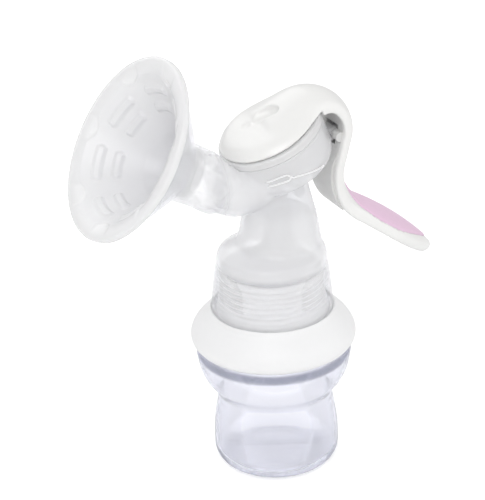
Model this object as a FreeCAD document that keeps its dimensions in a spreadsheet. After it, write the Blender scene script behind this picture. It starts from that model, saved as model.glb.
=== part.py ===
import FreeCAD, Part
import math
import os

import Sketcher
from FreeCAD import Placement, Rotation, Vector

# Manual breast pump on its feeding bottle, in millimetres.
#
# +Z is up and the origin is the centre of the bottle's base, on the surface that it stands on.
# The pump is symmetrical about the XZ plane: the breast shield points to -X, the handle hangs at +X.
#
# Three axes carry every piece:
#   the bottle axis, which is Z,
#   the cup axis, through the middle of the diaphragm cup's rim, leaning towards the shield,
#   the shield axis, through the middle of the shield's rim, rising towards the user.

DOC = FreeCAD.newDocument("breast_pump")
SHEET = DOC.addObject("Spreadsheet::Sheet", "Sizes")

# alias, value, what it is
SIZES = [
    # bottle
    ("foot_round", 7.5, "radius of the rounded corner at the bottle's foot"),
    ("belly_radius", 29.0, "lower belly of the bottle"),
    ("belly_arc", 140.0, "radius of the belly's upright curve"),
    ("waist_radius", 26.8, "waist of the bottle"),
    ("waist_height", 34.3, "height of the waist"),
    ("waist_arc", 7.6, "radius of the hollow curve over the waist"),
    ("waist_turn", 42.6, "angle that the hollow curve turns through, degrees"),
    ("shoulder_arc", 25.0, "radius of the shoulder's round curve"),
    ("bead_radius", 35.4, "flat bead at the top of the bottle's shoulder"),
    ("bead_low", 21.7, "underside of the bead, over the waist"),
    ("shoulder_height", 5.4, "top of the bottle's shoulder, over the bead's underside"),
    ("bottle_neck_radius", 29.0, "outside of the bottle's threaded neck"),
    ("bottle_lip", 11.6, "lip of the bottle, over its shoulder"),
    ("bottle_wall", 1.8, "wall of the bottle"),
    # seal and adapter ring
    ("seal_thick", 1.5, "thickness of the sealing washer"),
    ("seal_inner", 24.4, "inner radius of the sealing washer"),
    ("ring_wall", 2.0, "wall of the adapter ring"),
    ("ring_edge_radius", 36.5, "outer radius at the ring's lower edge"),
    ("ring_edge_arc", 4.4, "radius of the curve from the lower edge to the widest place"),
    ("ring_max_radius", 37.9, "widest radius of the ring"),
    ("ring_max_height", 3.6, "the ring's widest place, over the bottle's shoulder"),
    ("ring_brow_arc", 12.1, "radius of the curve from the widest place to the brow"),
    ("ring_brow_radius", 34.6, "radius where the ring's cone begins"),
    ("ring_brow_height", 7.2, "where the ring's cone begins, over the widest place"),
    ("ring_top", 6.8, "top of the ring, over the foot of its cone"),
    ("ring_mouth_radius", 28.1, "opening in the ring's top, round the pump's skirt"),
    ("spigot_radius", 23.4, "outside of the threaded spigot that the pump screws onto"),
    ("spigot_top", 19.0, "top of the spigot, over the ring's top"),
    ("floor_gap", 0.4, "gap between the ring's lower edge and the bottle's shoulder"),
    # pump body
    ("body_wall", 2.0, "wall of the pump body"),
    ("skirt_radius", 27.8, "outer radius at the bottom of the body's skirt"),
    ("skirt_bore_top", 1.0, "room between the spigot's top and the end of the skirt's bore"),
    ("bell_mid_radius", 27.0, "outer radius of the bell at the middle of its thread"),
    ("bell_mid_height", 10.0, "height of that section over the ring's top"),
    ("bell_brow_radius", 24.9, "outer radius of the bell just under its shoulder"),
    ("bell_brow_height", 15.5, "height of that section over the one below"),
    ("brow_round", 4.0, "rounding of the bell's shoulder"),
    ("neck_radius", 19.1, "outer radius at the foot of the bell's neck"),
    ("neck_height", 7.3, "height of that section over the one below"),
    ("neck_shift", 4.2, "how far the neck's foot stands towards the handle"),
    ("throat_round", 6.0, "rounding between the shoulder and the neck"),
    ("root_radius", 9.4, "outer radius of the neck inside the cup"),
    ("root_height", 36.2, "height of that section over the one below"),
    ("root_shift", 7.2, "how far that section stands towards the handle"),
    ("spout_radius", 6.5, "outside of the milk spout inside the bell"),
    ("spout_bore", 4.5, "bore of the milk spout and channels"),
    ("spout_tip", 15.0, "the spout's lower end, over the middle of the thread"),
    ("bell_ceiling", 13.2, "the bell's ceiling, over the neck's foot"),
    # cup
    ("cup_x", 0.5, "middle of the cap's lower edge, along X"),
    ("cup_height", 16.8, "middle of the cap's lower edge, over the neck's root"),
    ("cup_tilt", 24.0, "lean of the cup axis towards the shield, degrees"),
    ("cup_radius", 24.2, "outer radius of the cup at its rim"),
    ("cup_foot_radius", 23.0, "outer radius of the cup just over its rounded foot"),
    ("cup_depth", 22.8, "from the cap's edge down to the underside of the cup"),
    ("cup_floor", 2.4, "thickness of the cup's floor"),
    ("rim_drop", 4.0, "from the cap's edge down to the rim of the cup"),
    ("stem_clear", 0.35, "clearance of the stem round the diaphragm's rim"),
    ("air_hole", 2.5, "radius of the air passage through the cup's floor"),
    # shield and stem
    ("shield_x", -66.9, "middle of the shield's rim, along X"),
    ("shield_height", 5.5, "middle of the shield's rim, over the middle of the cap's edge"),
    ("shield_rise", 32.5, "rise of the shield axis, degrees"),
    ("shield_radius", 39.8, "outer radius of the shield's rim"),
    ("shield_depth", 27.0, "from the rim back to the stem"),
    ("shield_wall", 1.8, "wall of the shield"),
    ("bowl_arc", 150.0, "radius of the shield's slightly bowled cone"),
    ("stem_radius", 13.4, "outer radius of the stem"),
    ("stem_bore", 11.0, "bore of the stem"),
    ("stem_straight", 50.0, "from the shield's rim to the end of the stem's wide bore"),
    ("stem_low", 27.7, "axis of the stem where it meets the neck, over the neck's foot"),
    # cushion
    ("cushion_wall", 1.4, "wall of the silicone cushion"),
    ("cushion_tube", 33.7, "from the rim to the end of the cushion's tube"),
    ("soft_gap", 0.3, "gap between a soft piece and the rigid one it lines"),
    # valve
    ("valve_flange", 10.0, "radius of the valve's flange"),
    ("valve_length", 20.0, "height of the duckbill valve"),
    ("valve_wall", 1.3, "wall of the valve"),
    # diaphragm and its stem
    ("skin", 1.1, "thickness of the diaphragm"),
    ("diaphragm_depth", 16.5, "from the cap's edge down to the diaphragm's floor"),
    ("hub_radius", 5.4, "radius of the diaphragm's hub"),
    ("rod_radius", 1.8, "radius of the pull rod"),
    ("rod_ball", 2.6, "radius of the rod's ball head"),
    ("ball_rise", 2.4, "height of the ball's middle over the cap's edge"),
    ("foot_disc", 3.4, "radius of the rod's foot"),
    # handle
    ("cap_gap", 0.5, "gap between the cap's edge and the diaphragm's rim"),
    ("cap_relief", 0.8, "clearance of the strap round the cap's edge and the cup"),
    ("relief_drop", 14.0, "reach of that clearance down from the cap's edge"),
    ("cap_tilt", 20.0, "lean of the cap's dome towards the shield, degrees"),
    ("cap_radius", 24.9, "outer radius of the cap"),
    ("cap_rise", 8.0, "height of the cap's dome"),
    ("handle_wall", 2.0, "wall of the handle's shell"),
    ("strap_depth", 9.2, "depth of the strap and of the paddle, from crown to rim"),
    ("strap_half", 12.0, "half the width of the strap"),
    ("channel_half", 10.0, "half the width of the channel inside the strap"),
    ("channel_foot", 5.0, "reach of the channel down the paddle"),
    ("bend_x", 20.2, "centre of the bend over the pivot, along X"),
    ("bend_height", 3.0, "centre of the bend, over the hinge axis"),
    ("bend_radius", 20.0, "outer radius of the bend, and of the back's curve across the handle"),
    ("bend_start", 112.0, "angle where the bend begins at the cap's side, degrees"),
    ("run_length", 15.0, "straight run from the bend down to the cap"),
    ("bend_end", -16.2, "angle where the bend ends, degrees"),
    ("spine_length", 11.9, "straight run of the strap below the bend"),
    ("heel_radius", 17.9, "outer radius of the reverse bend above the paddle"),
    ("paddle_slope", 31.0, "slope of the paddle where it begins, degrees"),
    ("paddle_bow", 165.0, "radius of the paddle's long curve"),
    ("paddle_length", 50.4, "length of the paddle, seen square to where it begins"),
    ("paddle_half", 15.5, "half the width of the paddle"),
    ("paddle_hip", 20.0, "distance down the paddle where it begins to narrow"),
    ("widen_run", 14.0, "length over which the strap widens into the paddle"),
    ("tip_turn", 30.0, "slant of the paddle's side where the tip begins, degrees"),
    ("tip_thick", 6.4, "thickness of the paddle at its tip"),
    ("thin_start", 22.0, "distance down the paddle from which it grows thinner"),
    ("back_round", 2.6, "rounding along the sides of the back"),
    ("rim_round", 0.7, "rounding along the outside of the rim"),
    ("pad_start", -8.0, "where the grip pad begins, measured down the paddle"),
    ("pad_end", 46.0, "where the grip pad ends"),
    ("pad_half", 12.6, "half the width of the grip pad"),
    ("pad_thick", 1.6, "thickness of the grip pad"),
    ("pad_sink", 1.0, "depth of the recess that holds the grip pad"),
    ("pad_seat_over", 3.0, "reach of the recess's cut above the back"),
    ("slot_reach", 11.5, "reach of the ball's slot under the cap towards the shield"),
    ("slot_back", 3.2, "reach of the slot towards the handle"),
    ("slot_half", 3.0, "half the width of the slot, round the ball"),
    ("slot_gap", 2.3, "half the gap between the slot's lips, round the rod"),
    ("slot_top", 5.4, "height of the slot's top over the cap's edge"),
    ("slot_lip", 1.0, "thickness of the slot's lips"),
    ("slot_drop", 0.6, "from the cap's edge down to the top of the lips"),
    # hinge
    ("pivot_x", 31.3, "hinge axis, along X"),
    ("pivot_height", 9.5, "hinge axis, over the neck's root"),
    ("pin_radius", 1.4, "radius of the hinge trunnion"),
    ("pin_gap", 0.05, "running clearance of the trunnion in its lug"),
    ("lug_radius", 2.8, "radius of the hinge lug on the cup"),
    ("lug_half", 4.4, "half the width of the hinge lug"),
    ("liner_depth", 7.6, "depth of the inner frame's free face under the strap's back"),
    ("liner_heel_depth", 9.2, "the same at the reverse bend"),
    ("liner_gap", 0.2, "gap each side of the inner frame in its channel"),
    ("liner_end", 38.0, "angle on the reverse bend where the inner frame ends, degrees"),
    ("liner_start", 62.0, "angle on the bend where the inner frame begins, degrees"),
    ("ear_radius", 2.2, "radius of the frame's two ears"),
    ("ear_gap", 5.2, "half the gap between the two ears"),
    ("fit_gap", 0.05, "gap between two pieces that seat on each other"),
    ("screw_gap", 0.35, "gap between the plain walls of a screw joint"),
]

# each level is a step over another one, so that what stands on a piece follows it
MEASURED_FROM = {
    "bead_low": "waist_height",
    "shoulder_height": "bead_low",
    "bottle_lip": "shoulder_height",
    "ring_max_height": "shoulder_height",
    "ring_brow_height": "ring_max_height",
    "ring_top": "ring_brow_height",
    "spigot_top": "ring_top",
    "skirt_bore_top": "spigot_top",
    "bell_mid_height": "ring_top",
    "bell_brow_height": "bell_mid_height",
    "neck_height": "bell_brow_height",
    "root_height": "neck_height",
    "spout_tip": "bell_mid_height",
    "bell_ceiling": "neck_height",
    "cup_height": "root_height",
    "shield_height": "cup_height",
    "stem_low": "neck_height",
    "pivot_height": "root_height",
    "bend_height": "pivot_height",
}

for row, (alias, value, note) in enumerate(SIZES, start=1):
    SHEET.set(f"A{row}", alias)
    SHEET.set(f"B{row}", str(value))
    SHEET.set(f"C{row}", note)
    SHEET.setAlias(f"B{row}", alias)
DOC.recompute()


class Size:
    """A number together with the expression over the sheet that gives it."""

    def __init__(self, value, text):
        self.value = value
        self.text = text

    def __add__(self, other):
        other = as_size(other)
        return Size(self.value + other.value, f"({self.text} + {other.text})")

    def __sub__(self, other):
        other = as_size(other)
        return Size(self.value - other.value, f"({self.text} - {other.text})")

    def __mul__(self, other):
        other = as_size(other)
        return Size(self.value * other.value, f"({self.text} * {other.text})")

    def __truediv__(self, other):
        other = as_size(other)
        return Size(self.value / other.value, f"({self.text} / {other.text})")

    def __neg__(self):
        return Size(-self.value, f"(0 - {self.text})")

    __radd__ = __add__
    __rmul__ = __mul__

    def __rsub__(self, other):
        return as_size(other) - self


def as_size(number):
    """A plain number as a Size."""
    if isinstance(number, Size):
        return number
    return Size(float(number), f"{float(number):.6f}")


def size(alias):
    """The driving dimension of that name."""
    return Size(float(SHEET.get(alias)), f"Sizes.{alias}")


def level(alias):
    """A height over the table: the named step, on top of the level that it is measured from."""
    step = size(alias)
    return level(MEASURED_FROM[alias]) + step if alias in MEASURED_FROM else step


def sine(angle):
    """Sine of an angle in degrees."""
    angle = as_size(angle)
    return Size(math.sin(math.radians(angle.value)), f"sin({angle.text})")


def cosine(angle):
    """Cosine of an angle in degrees."""
    angle = as_size(angle)
    return Size(math.cos(math.radians(angle.value)), f"cos({angle.text})")


def tangent(angle):
    """Tangent of an angle in degrees."""
    return sine(angle) / cosine(angle)


def root(number):
    """Square root of a size."""
    return Size(math.sqrt(number.value), f"sqrt({number.text})")


def new_body(name):
    """A body that becomes one piece, with its label as the file's name."""
    body = DOC.addObject("PartDesign::Body", name)
    body.Label = name
    return body


def origin_plane(body, role):
    """One of a body's own origin planes."""
    for feature in body.Origin.OriginFeatures:
        if feature.Role == role:
            return feature
    raise ValueError(role)


def new_sketch(body, name, role="XZ_Plane", at=(0, 0, 0), axis=(0, 0, 1), turn=0):
    """A sketch on an origin plane, shifted by at and turned about axis, both in the plane's own directions."""
    sketch = body.newObject("Sketcher::SketchObject", name)
    sketch.AttachmentSupport = [(origin_plane(body, role), "")]
    sketch.MapMode = "FlatFace"
    shift = [as_size(value) for value in at]
    angle = as_size(turn)
    sketch.AttachmentOffset = Placement(
        Vector(*[value.value for value in shift]), Rotation(Vector(*axis), angle.value)
    )
    for letter, value in zip("xyz", shift):
        sketch.setExpression(f"AttachmentOffset.Base.{letter}", value.text)
    if angle.value != 0:
        sketch.setExpression("AttachmentOffset.Rotation.Angle", angle.text)
    return sketch


def pin_point(sketch, geometry, position, x, y):
    """Holds one end of a line or arc, or a centre, at two sizes from the sketch's origin."""
    for kind, value in (("DistanceX", as_size(x)), ("DistanceY", as_size(y))):
        index = sketch.addConstraint(Sketcher.Constraint(kind, -1, 1, geometry, position, value.value))
        sketch.setExpression(f"Constraints[{index}]", value.text)


def outline(sketch, corners, arcs=None, closed=True):
    """A line through corners, straight except where arcs gives a radius for the side that follows
    that corner. A positive radius turns left, a negative one turns right."""
    arcs = arcs or {}
    corners = [(as_size(x), as_size(y)) for x, y in corners]
    count = len(corners)
    ends = []
    for index in range(count if closed else count - 1):
        first = Vector(corners[index][0].value, corners[index][1].value, 0)
        last = Vector(corners[(index + 1) % count][0].value, corners[(index + 1) % count][1].value, 0)
        if index not in arcs:
            geometry = sketch.addGeometry(Part.LineSegment(first, last))
            ends.append((geometry, 1, 2))
            continue
        radius = as_size(arcs[index])
        chord = last - first
        reach = math.sqrt(max(radius.value**2 - chord.Length**2 / 4, 0))
        left = Vector(-chord.y, chord.x, 0).normalize()
        turn_left = radius.value > 0
        centre = (first + last) / 2 + left * (reach if turn_left else -reach)
        circle = Part.Circle(centre, Vector(0, 0, 1), abs(radius.value))
        begin = math.atan2(first.y - centre.y, first.x - centre.x)
        end = math.atan2(last.y - centre.y, last.x - centre.x)
        if turn_left:
            geometry = sketch.addGeometry(Part.ArcOfCircle(circle, begin, end))
            ends.append((geometry, 1, 2))
        else:
            geometry = sketch.addGeometry(Part.ArcOfCircle(circle, end, begin))
            ends.append((geometry, 2, 1))
    for index, (geometry, start, stop) in enumerate(ends):
        pin_point(sketch, geometry, start, *corners[index])
        if closed or index > 0:
            before, _, joint = ends[index - 1]
            sketch.addConstraint(Sketcher.Constraint("Coincident", before, joint, geometry, start))
    if not closed:
        pin_point(sketch, ends[-1][0], ends[-1][2], *corners[-1])
    for index, radius in arcs.items():
        radius = as_size(radius)
        place = sketch.addConstraint(Sketcher.Constraint("Radius", ends[index][0], abs(radius.value)))
        text = radius.text if radius.value > 0 else (-radius).text
        sketch.setExpression(f"Constraints[{place}]", text)
    return sketch


def round_outline(sketch, radius):
    """A circle about the sketch's origin."""
    radius = as_size(radius)
    geometry = sketch.addGeometry(Part.Circle(Vector(0, 0, 0), Vector(0, 0, 1), radius.value))
    sketch.addConstraint(Sketcher.Constraint("Coincident", geometry, 3, -1, 1))
    index = sketch.addConstraint(Sketcher.Constraint("Radius", geometry, radius.value))
    sketch.setExpression(f"Constraints[{index}]", radius.text)
    return sketch


def spin(body, name, sketch, cut=False):
    """A solid of revolution, or a groove, about the sketch's own upright axis."""
    kind = "PartDesign::Groove" if cut else "PartDesign::Revolution"
    feature = body.newObject(kind, name)
    feature.Profile = sketch
    feature.ReferenceAxis = (sketch, ["V_Axis"])
    feature.Angle = 360
    return finish_feature(body, feature, sketch)


def slab(body, name, sketch, length, cut=False):
    """A pad or a pocket, as long each side of the sketch's plane."""
    kind = "PartDesign::Pocket" if cut else "PartDesign::Pad"
    feature = body.newObject(kind, name)
    feature.Profile = sketch
    feature.Midplane = True
    length = as_size(length)
    feature.Length = length.value
    feature.setExpression("Length", length.text)
    return finish_feature(body, feature, sketch)


def loft(body, name, sketches, cut=False):
    """A smooth solid, or a hollow, through closed sketches."""
    kind = "PartDesign::SubtractiveLoft" if cut else "PartDesign::AdditiveLoft"
    feature = body.newObject(kind, name)
    feature.Profile = sketches[0]
    feature.Sections = sketches[1:]
    feature.Ruled = False
    return finish_feature(body, feature, *sketches)


def sweep(body, name, sketch, path, cut=False):
    """A profile carried along a path."""
    kind = "PartDesign::SubtractivePipe" if cut else "PartDesign::AdditivePipe"
    feature = body.newObject(kind, name)
    feature.Profile = sketch
    feature.Spine = (path, [f"Edge{index + 1}" for index in range(path.GeometryCount)])
    return finish_feature(body, feature, sketch)


def round_edges(body, name, radius, chosen):
    """Rounds those edges of the piece so far that chosen accepts."""
    base = body.Tip
    radius = as_size(radius)
    names = [f"Edge{index}" for index, edge in enumerate(base.Shape.Edges, start=1) if chosen(edge)]
    feature = body.newObject("PartDesign::Fillet", name)
    feature.Base = (base, names)
    feature.Radius = radius.value
    feature.setExpression("Radius", radius.text)
    return finish_feature(body, feature)


def level_edge(height):
    """Accepts the edges that lie level at one height."""
    height = as_size(height).value
    near = 0.01

    def chosen(edge):
        box = edge.BoundBox
        return abs(box.ZMin - height) < near and abs(box.ZMax - height) < near

    return chosen


def finish_feature(body, feature, *sketches):
    """Makes the feature the body's tip and hides what it was drawn from."""
    body.Tip = feature
    DOC.recompute()
    if feature.Shape.isNull() or not feature.Shape.isValid():
        raise RuntimeError(f"{body.Label}: {feature.Name} has no valid shape")
    return feature


def disc(body, name, x, height, tilt, radius):
    """A circle in space: its centre in the XZ plane, its normal leaning by tilt towards -X."""
    sketch = new_sketch(body, name, "XY_Plane", (x, 0, height), (0, 1, 0), -as_size(tilt))
    return round_outline(sketch, radius)


# ---------------------------------------------------------------- bottle


def make_bottle():
    """Clear feeding bottle: flat base, belly, waist, wide shoulder with a bead, neck."""
    body = new_body("bottle")
    wall = size("bottle_wall")
    neck = size("bottle_neck_radius")
    belly = size("belly_radius")
    waist = size("waist_radius")
    waist_z = size("waist_height")
    bead = size("bead_radius")
    shoulder = level("shoulder_height")
    foot_arc = size("foot_round")
    foot = belly - foot_arc
    waist_arc = size("waist_arc")
    turn = size("waist_turn")
    start_x = waist + waist_arc * (1 - cosine(turn))
    start_z = waist_z + waist_arc * sine(turn)
    bevel = 0.6
    corners = [
        (0, 0),
        (foot, 0),
        (belly, foot_arc),
        (waist, waist_z),
        (start_x, start_z),
        (bead, level("bead_low")),
        (bead, shoulder - bevel),
        (bead - bevel, shoulder),
        (neck, shoulder),
        (neck, level("bottle_lip")),
        (neck - wall, level("bottle_lip")),
        (neck - wall, shoulder - wall),
        (bead - wall - bevel, shoulder - wall),
        (bead - wall, level("bead_low")),
        (start_x - wall * cosine(turn), start_z + wall * sine(turn)),
        (waist - wall, waist_z),
        (belly - wall, foot_arc),
        (foot, wall),
        (0, wall),
    ]
    arcs = {
        1: foot_arc,
        2: size("belly_arc"),
        3: -waist_arc,
        4: size("shoulder_arc"),
        13: -(size("shoulder_arc") - wall),
        14: waist_arc + wall,
        15: -(size("belly_arc") - wall),
        16: -(foot_arc - wall),
    }
    spin(body, "bottle_wall_spin", outline(new_sketch(body, "bottle_outline"), corners, arcs))
    return body


def make_bottle_seal():
    """Silicone washer between the bottle's lip and the adapter ring's ledge."""
    body = new_body("bottle_seal")
    low = level("bottle_lip") + size("fit_gap")
    high = low + size("seal_thick")
    outer = size("bottle_neck_radius")
    inner = size("seal_inner")
    corners = [(inner, low), (outer, low), (outer, high), (inner, high)]
    spin(body, "seal_spin", outline(new_sketch(body, "seal_outline"), corners))
    return body


# ---------------------------------------------------------------- adapter ring


def ledge_low():
    """Underside of the ring's ledge, which presses on the seal."""
    return level("bottle_lip") + size("seal_thick") + 2 * size("fit_gap")


def ledge_high():
    """Top of the ring's ledge, where the body's skirt stands."""
    return ledge_low() + size("ring_wall")


def make_adapter_ring():
    """White ring: skirt over the bottle's thread, ledge, and a tall spigot for the pump's thread."""
    body = new_body("adapter_ring")
    wall = size("ring_wall")
    spigot = size("spigot_radius")
    mouth = size("ring_mouth_radius")
    widest = size("ring_max_radius")
    middle = level("ring_max_height")
    brow = size("ring_brow_radius")
    brow_z = level("ring_brow_height")
    bottom = level("shoulder_height") + size("floor_gap")
    edge = size("ring_edge_radius")
    thread = size("bottle_neck_radius") + size("screw_gap")
    under = ledge_low()
    cone_shift = wall * 0.7
    sleeve_lift = 1.2
    corners = [
        (spigot - wall, under),
        (spigot - wall, level("spigot_top")),
        (spigot, level("spigot_top")),
        (spigot, ledge_high()),
        (mouth, ledge_high()),
        (mouth, level("ring_top")),
        (brow, brow_z),
        (widest, middle),
        (edge, bottom),
        (edge - wall * 0.8, bottom),
        (widest - wall, middle),
        (brow - cone_shift, brow_z - cone_shift),
        (thread + wall, under - wall),
        (thread + wall, bottom + sleeve_lift),
        (thread, bottom + sleeve_lift),
        (thread, under),
    ]
    arcs = {
        6: -size("ring_brow_arc"),
        7: -size("ring_edge_arc"),
        10: size("ring_brow_arc") - wall,
    }
    spin(body, "ring_spin", outline(new_sketch(body, "ring_outline"), corners, arcs))
    return body


# ---------------------------------------------------------------- pump body


def cup_point(drop, across=0):
    """A place in the XZ plane: so far down the cup axis from the cap's edge, and across towards +X."""
    tilt = size("cup_tilt")
    x = size("cup_x") + sine(tilt) * drop + cosine(tilt) * across
    height = level("cup_height") - cosine(tilt) * drop + sine(tilt) * across
    return x, height


def shield_point(back):
    """A place on the shield axis, so far behind the middle of the rim."""
    rise = size("shield_rise")
    return size("shield_x") + cosine(rise) * back, level("shield_height") - sine(rise) * back


def cup_sketch(body, name):
    """A sketch whose upright axis is the cup axis, with its origin at the cap's edge."""
    return new_sketch(body, name, "XZ_Plane", (size("cup_x"), level("cup_height"), 0), (0, 0, 1), size("cup_tilt"))


def shield_sketch(body, name):
    """A sketch whose upright axis is the shield axis, pointing out of the rim's middle."""
    lean = 90 - size("shield_rise")
    return new_sketch(body, name, "XZ_Plane", (size("shield_x"), level("shield_height"), 0), (0, 0, 1), lean)


def cone_stack(body, prefix, inset, levels, cut=False):
    """Leaning cones one on another, each drawn in by inset. A level is a name, centre, height and radius."""
    rings = []
    for name, x, height, radius in levels:
        rings.append(disc(body, f"{prefix}_{name}", x, height, 0, radius - inset))
    for below, above in zip(rings, rings[1:]):
        loft(body, f"{above.Label}_cone", [below, above], cut)


def bell_levels():
    """The bell's outer sections from under its shoulder up to the neck."""
    shift = size("neck_shift")
    return [
        ("brow", shift * 0.1, level("bell_brow_height"), size("bell_brow_radius")),
        ("throat", shift, level("neck_height"), size("neck_radius")),
    ]


def make_pump_body():
    """One clear moulding: skirt, bell, neck, diaphragm cup, stem, shield, spout and hinge lug."""
    body = new_body("pump_body")
    wall = size("body_wall")
    skirt_foot = ledge_high() + size("fit_gap")
    bore_top = level("skirt_bore_top")
    levels = [
        ("foot", as_size(0), skirt_foot, size("skirt_radius")),
        ("mid", as_size(0), level("bell_mid_height"), size("bell_mid_radius")),
    ] + bell_levels()
    seat = ("root", size("root_shift"), level("root_height"), size("root_radius"))
    levels.append(seat)
    cone_stack(body, "bell", as_size(0), levels)
    round_edges(body, "bell_brow_round", size("brow_round"), level_edge(level("bell_brow_height")))
    round_edges(body, "bell_throat_round", size("throat_round"), level_edge(level("neck_height")))

    # cup: a drum with a rounded foot
    rim = -size("rim_drop")
    base = -size("cup_depth")
    foot_round = 3.5
    drum = [
        (0, rim),
        (0, base),
        (size("cup_foot_radius") - foot_round, base),
        (size("cup_foot_radius"), base + foot_round),
        (size("cup_radius"), rim),
    ]
    spin(body, "cup_drum", outline(cup_sketch(body, "drum_outline"), drum, {2: foot_round}))

    # shield and the straight part of the stem
    shield = size("shield_radius")
    stem = size("stem_radius")
    depth = -size("shield_depth")
    lip = 2.0
    cone = [
        (0, 0),
        (shield, 0),
        (shield, -lip),
        (shield - 1.6, -lip - 0.4),
        (stem + 0.6, depth),
        (stem, depth - 4),
        (stem - 0.3, -size("stem_straight")),
        (0, -size("stem_straight")),
    ]
    spin(body, "shield_spin", outline(shield_sketch(body, "shield_outline"), cone, {3: -size("bowl_arc")}))

    # the stem turns level as it joins the neck
    entry_x, entry_height = shield_point(size("stem_straight") - 2)
    low = level("stem_low")
    elbow_x = entry_x + 9.5
    stem_rings = [
        disc(body, "stem_entry", entry_x, entry_height, 90 - size("shield_rise"), stem - 0.3),
        disc(body, "stem_elbow", elbow_x, low + 1.6, 90 - size("shield_rise") * 0.45, stem - 0.6),
        disc(body, "stem_root", size("neck_shift"), low - 1.5, 90, stem - 2.2),
    ]
    loft(body, "stem_loft", stem_rings)

    # hollow of the skirt and the bell
    bore = size("spigot_radius") + size("screw_gap")
    hollow = [(0, skirt_foot - 5), (bore, skirt_foot - 5), (bore, bore_top), (0, bore_top)]
    spin(body, "skirt_bore", outline(new_sketch(body, "bore_outline"), hollow), cut=True)
    rise = (level("bell_ceiling") - level("neck_height")) / (level("root_height") - level("neck_height"))
    ceiling_x = size("neck_shift") + (size("root_shift") - size("neck_shift")) * rise
    ceiling_r = size("neck_radius") + (size("root_radius") - size("neck_radius")) * rise
    inner = [("joint", as_size(0), bore_top, bore + wall)] + bell_levels()
    inner.append(("ceiling", ceiling_x, level("bell_ceiling"), ceiling_r))
    cone_stack(body, "hollow", wall, inner, cut=True)
    round_edges(body, "hollow_brow_round", size("brow_round") - wall, level_edge(level("bell_brow_height")))
    round_edges(body, "hollow_throat_round", size("throat_round") + wall, level_edge(level("neck_height")))

    # hollow of the cup
    cup_in = size("cup_radius") - wall
    cup_low = size("cup_foot_radius") - wall
    floor = base + size("cup_floor")
    well = [(0, 3), (cup_in, 3), (cup_in, rim), (cup_low, floor + 2.5), (cup_low - 2.5, floor), (0, floor)]
    spin(body, "cup_well", outline(cup_sketch(body, "well_outline"), well, {3: -2.5}), cut=True)

    # room over the stem for the diaphragm's rim and the cap
    clear = size("cup_radius") + size("stem_clear")
    cap_clear = size("cap_radius") + size("cap_relief")
    over = -size("cap_gap") / 2
    room = [(0, rim), (clear, rim), (clear, over), (cap_clear, over), (cap_clear, 14), (0, 14)]
    spin(body, "cap_room", outline(cup_sketch(body, "room_outline"), room), cut=True)

    # hollow of the shield and the stem's wide bore
    skin = size("shield_wall")
    reach = size("stem_bore")
    funnel = [
        (0, 1),
        (shield - 1.2, 1),
        (shield - 3.4, -1.4),
        (reach + 0.6, depth + 1.2),
        (reach, depth - 3),
        (reach - 0.3, -size("stem_straight") + 1),
        (0, -size("stem_straight") + 1),
    ]
    spin(body, "shield_hollow", outline(shield_sketch(body, "funnel_outline"), funnel, {2: -(size("bowl_arc") - skin)}), cut=True)

    # milk channel from the stem's bore down to the neck
    start_x, start_height = shield_point(size("stem_straight") - 4)
    end_x = size("neck_shift")
    end_height = level("bell_ceiling") + 6
    run_x = end_x - start_x
    run_z = start_height - end_height
    slope = math.degrees(math.atan2(run_z.value, run_x.value))
    slope = Size(slope, f"(atan2({run_z.text}; {run_x.text}) / 1 deg)")
    length = Size(math.hypot(run_x.value, run_z.value), f"hypot({run_x.text}; {run_z.text})")
    channel = [(0, 0), (size("spout_bore"), 0), (size("spout_bore"), -length), (0, -length)]
    channel_sketch = new_sketch(body, "channel_outline", "XZ_Plane", (start_x, start_height, 0), (0, 0, 1), 90 - slope)
    spin(body, "milk_channel", outline(channel_sketch, channel), cut=True)

    # spout inside the bell
    tip = level("spout_tip")
    top = level("bell_ceiling") + 1
    tube = [(0, tip), (size("spout_radius"), tip), (size("spout_radius"), top), (0, top)]
    spout_sketch = new_sketch(body, "spout_outline", "XZ_Plane", (size("neck_shift"), 0, 0))
    spin(body, "spout", outline(spout_sketch, tube))
    drop = [(0, tip - 2), (size("spout_bore"), tip - 2), (size("spout_bore"), end_height), (0, end_height)]
    drop_sketch = new_sketch(body, "drop_outline", "XZ_Plane", (size("neck_shift"), 0, 0))
    spin(body, "spout_hole", outline(drop_sketch, drop), cut=True)

    # air passage from the channel to the cup
    hole = size("air_hole")
    air = [(0, floor + 2), (hole, floor + 2), (hole, floor - 17), (0, floor - 17)]
    spin(body, "air_passage", outline(cup_sketch(body, "air_outline"), air), cut=True)

    # hinge lug
    lug_sketch = new_sketch(body, "lug_outline", "XZ_Plane")
    tilt = size("cup_tilt")
    lug = size("lug_radius")
    foot = 3.4
    px = size("pivot_x")
    pz = level("pivot_height")
    lug_points = [
        (px + sine(tilt) * lug, pz - cosine(tilt) * lug),
        (px + cosine(tilt) * lug, pz + sine(tilt) * lug),
        (px - sine(tilt) * lug, pz + cosine(tilt) * lug),
        (px - sine(tilt) * lug - cosine(tilt) * foot, pz + cosine(tilt) * lug - sine(tilt) * foot),
        (px + sine(tilt) * lug - cosine(tilt) * foot, pz - cosine(tilt) * lug - sine(tilt) * foot),
    ]
    outline(lug_sketch, lug_points, {0: lug, 1: lug})
    slab(body, "hinge_lug", lug_sketch, size("lug_half") * 2)
    eye = new_sketch(body, "eye_outline", "XZ_Plane", (px, pz, 0))
    slab(body, "hinge_eye", round_outline(eye, size("pin_radius") + size("pin_gap")), size("lug_half") * 2 + 2, cut=True)
    return body


# ---------------------------------------------------------------- soft pieces


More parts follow.
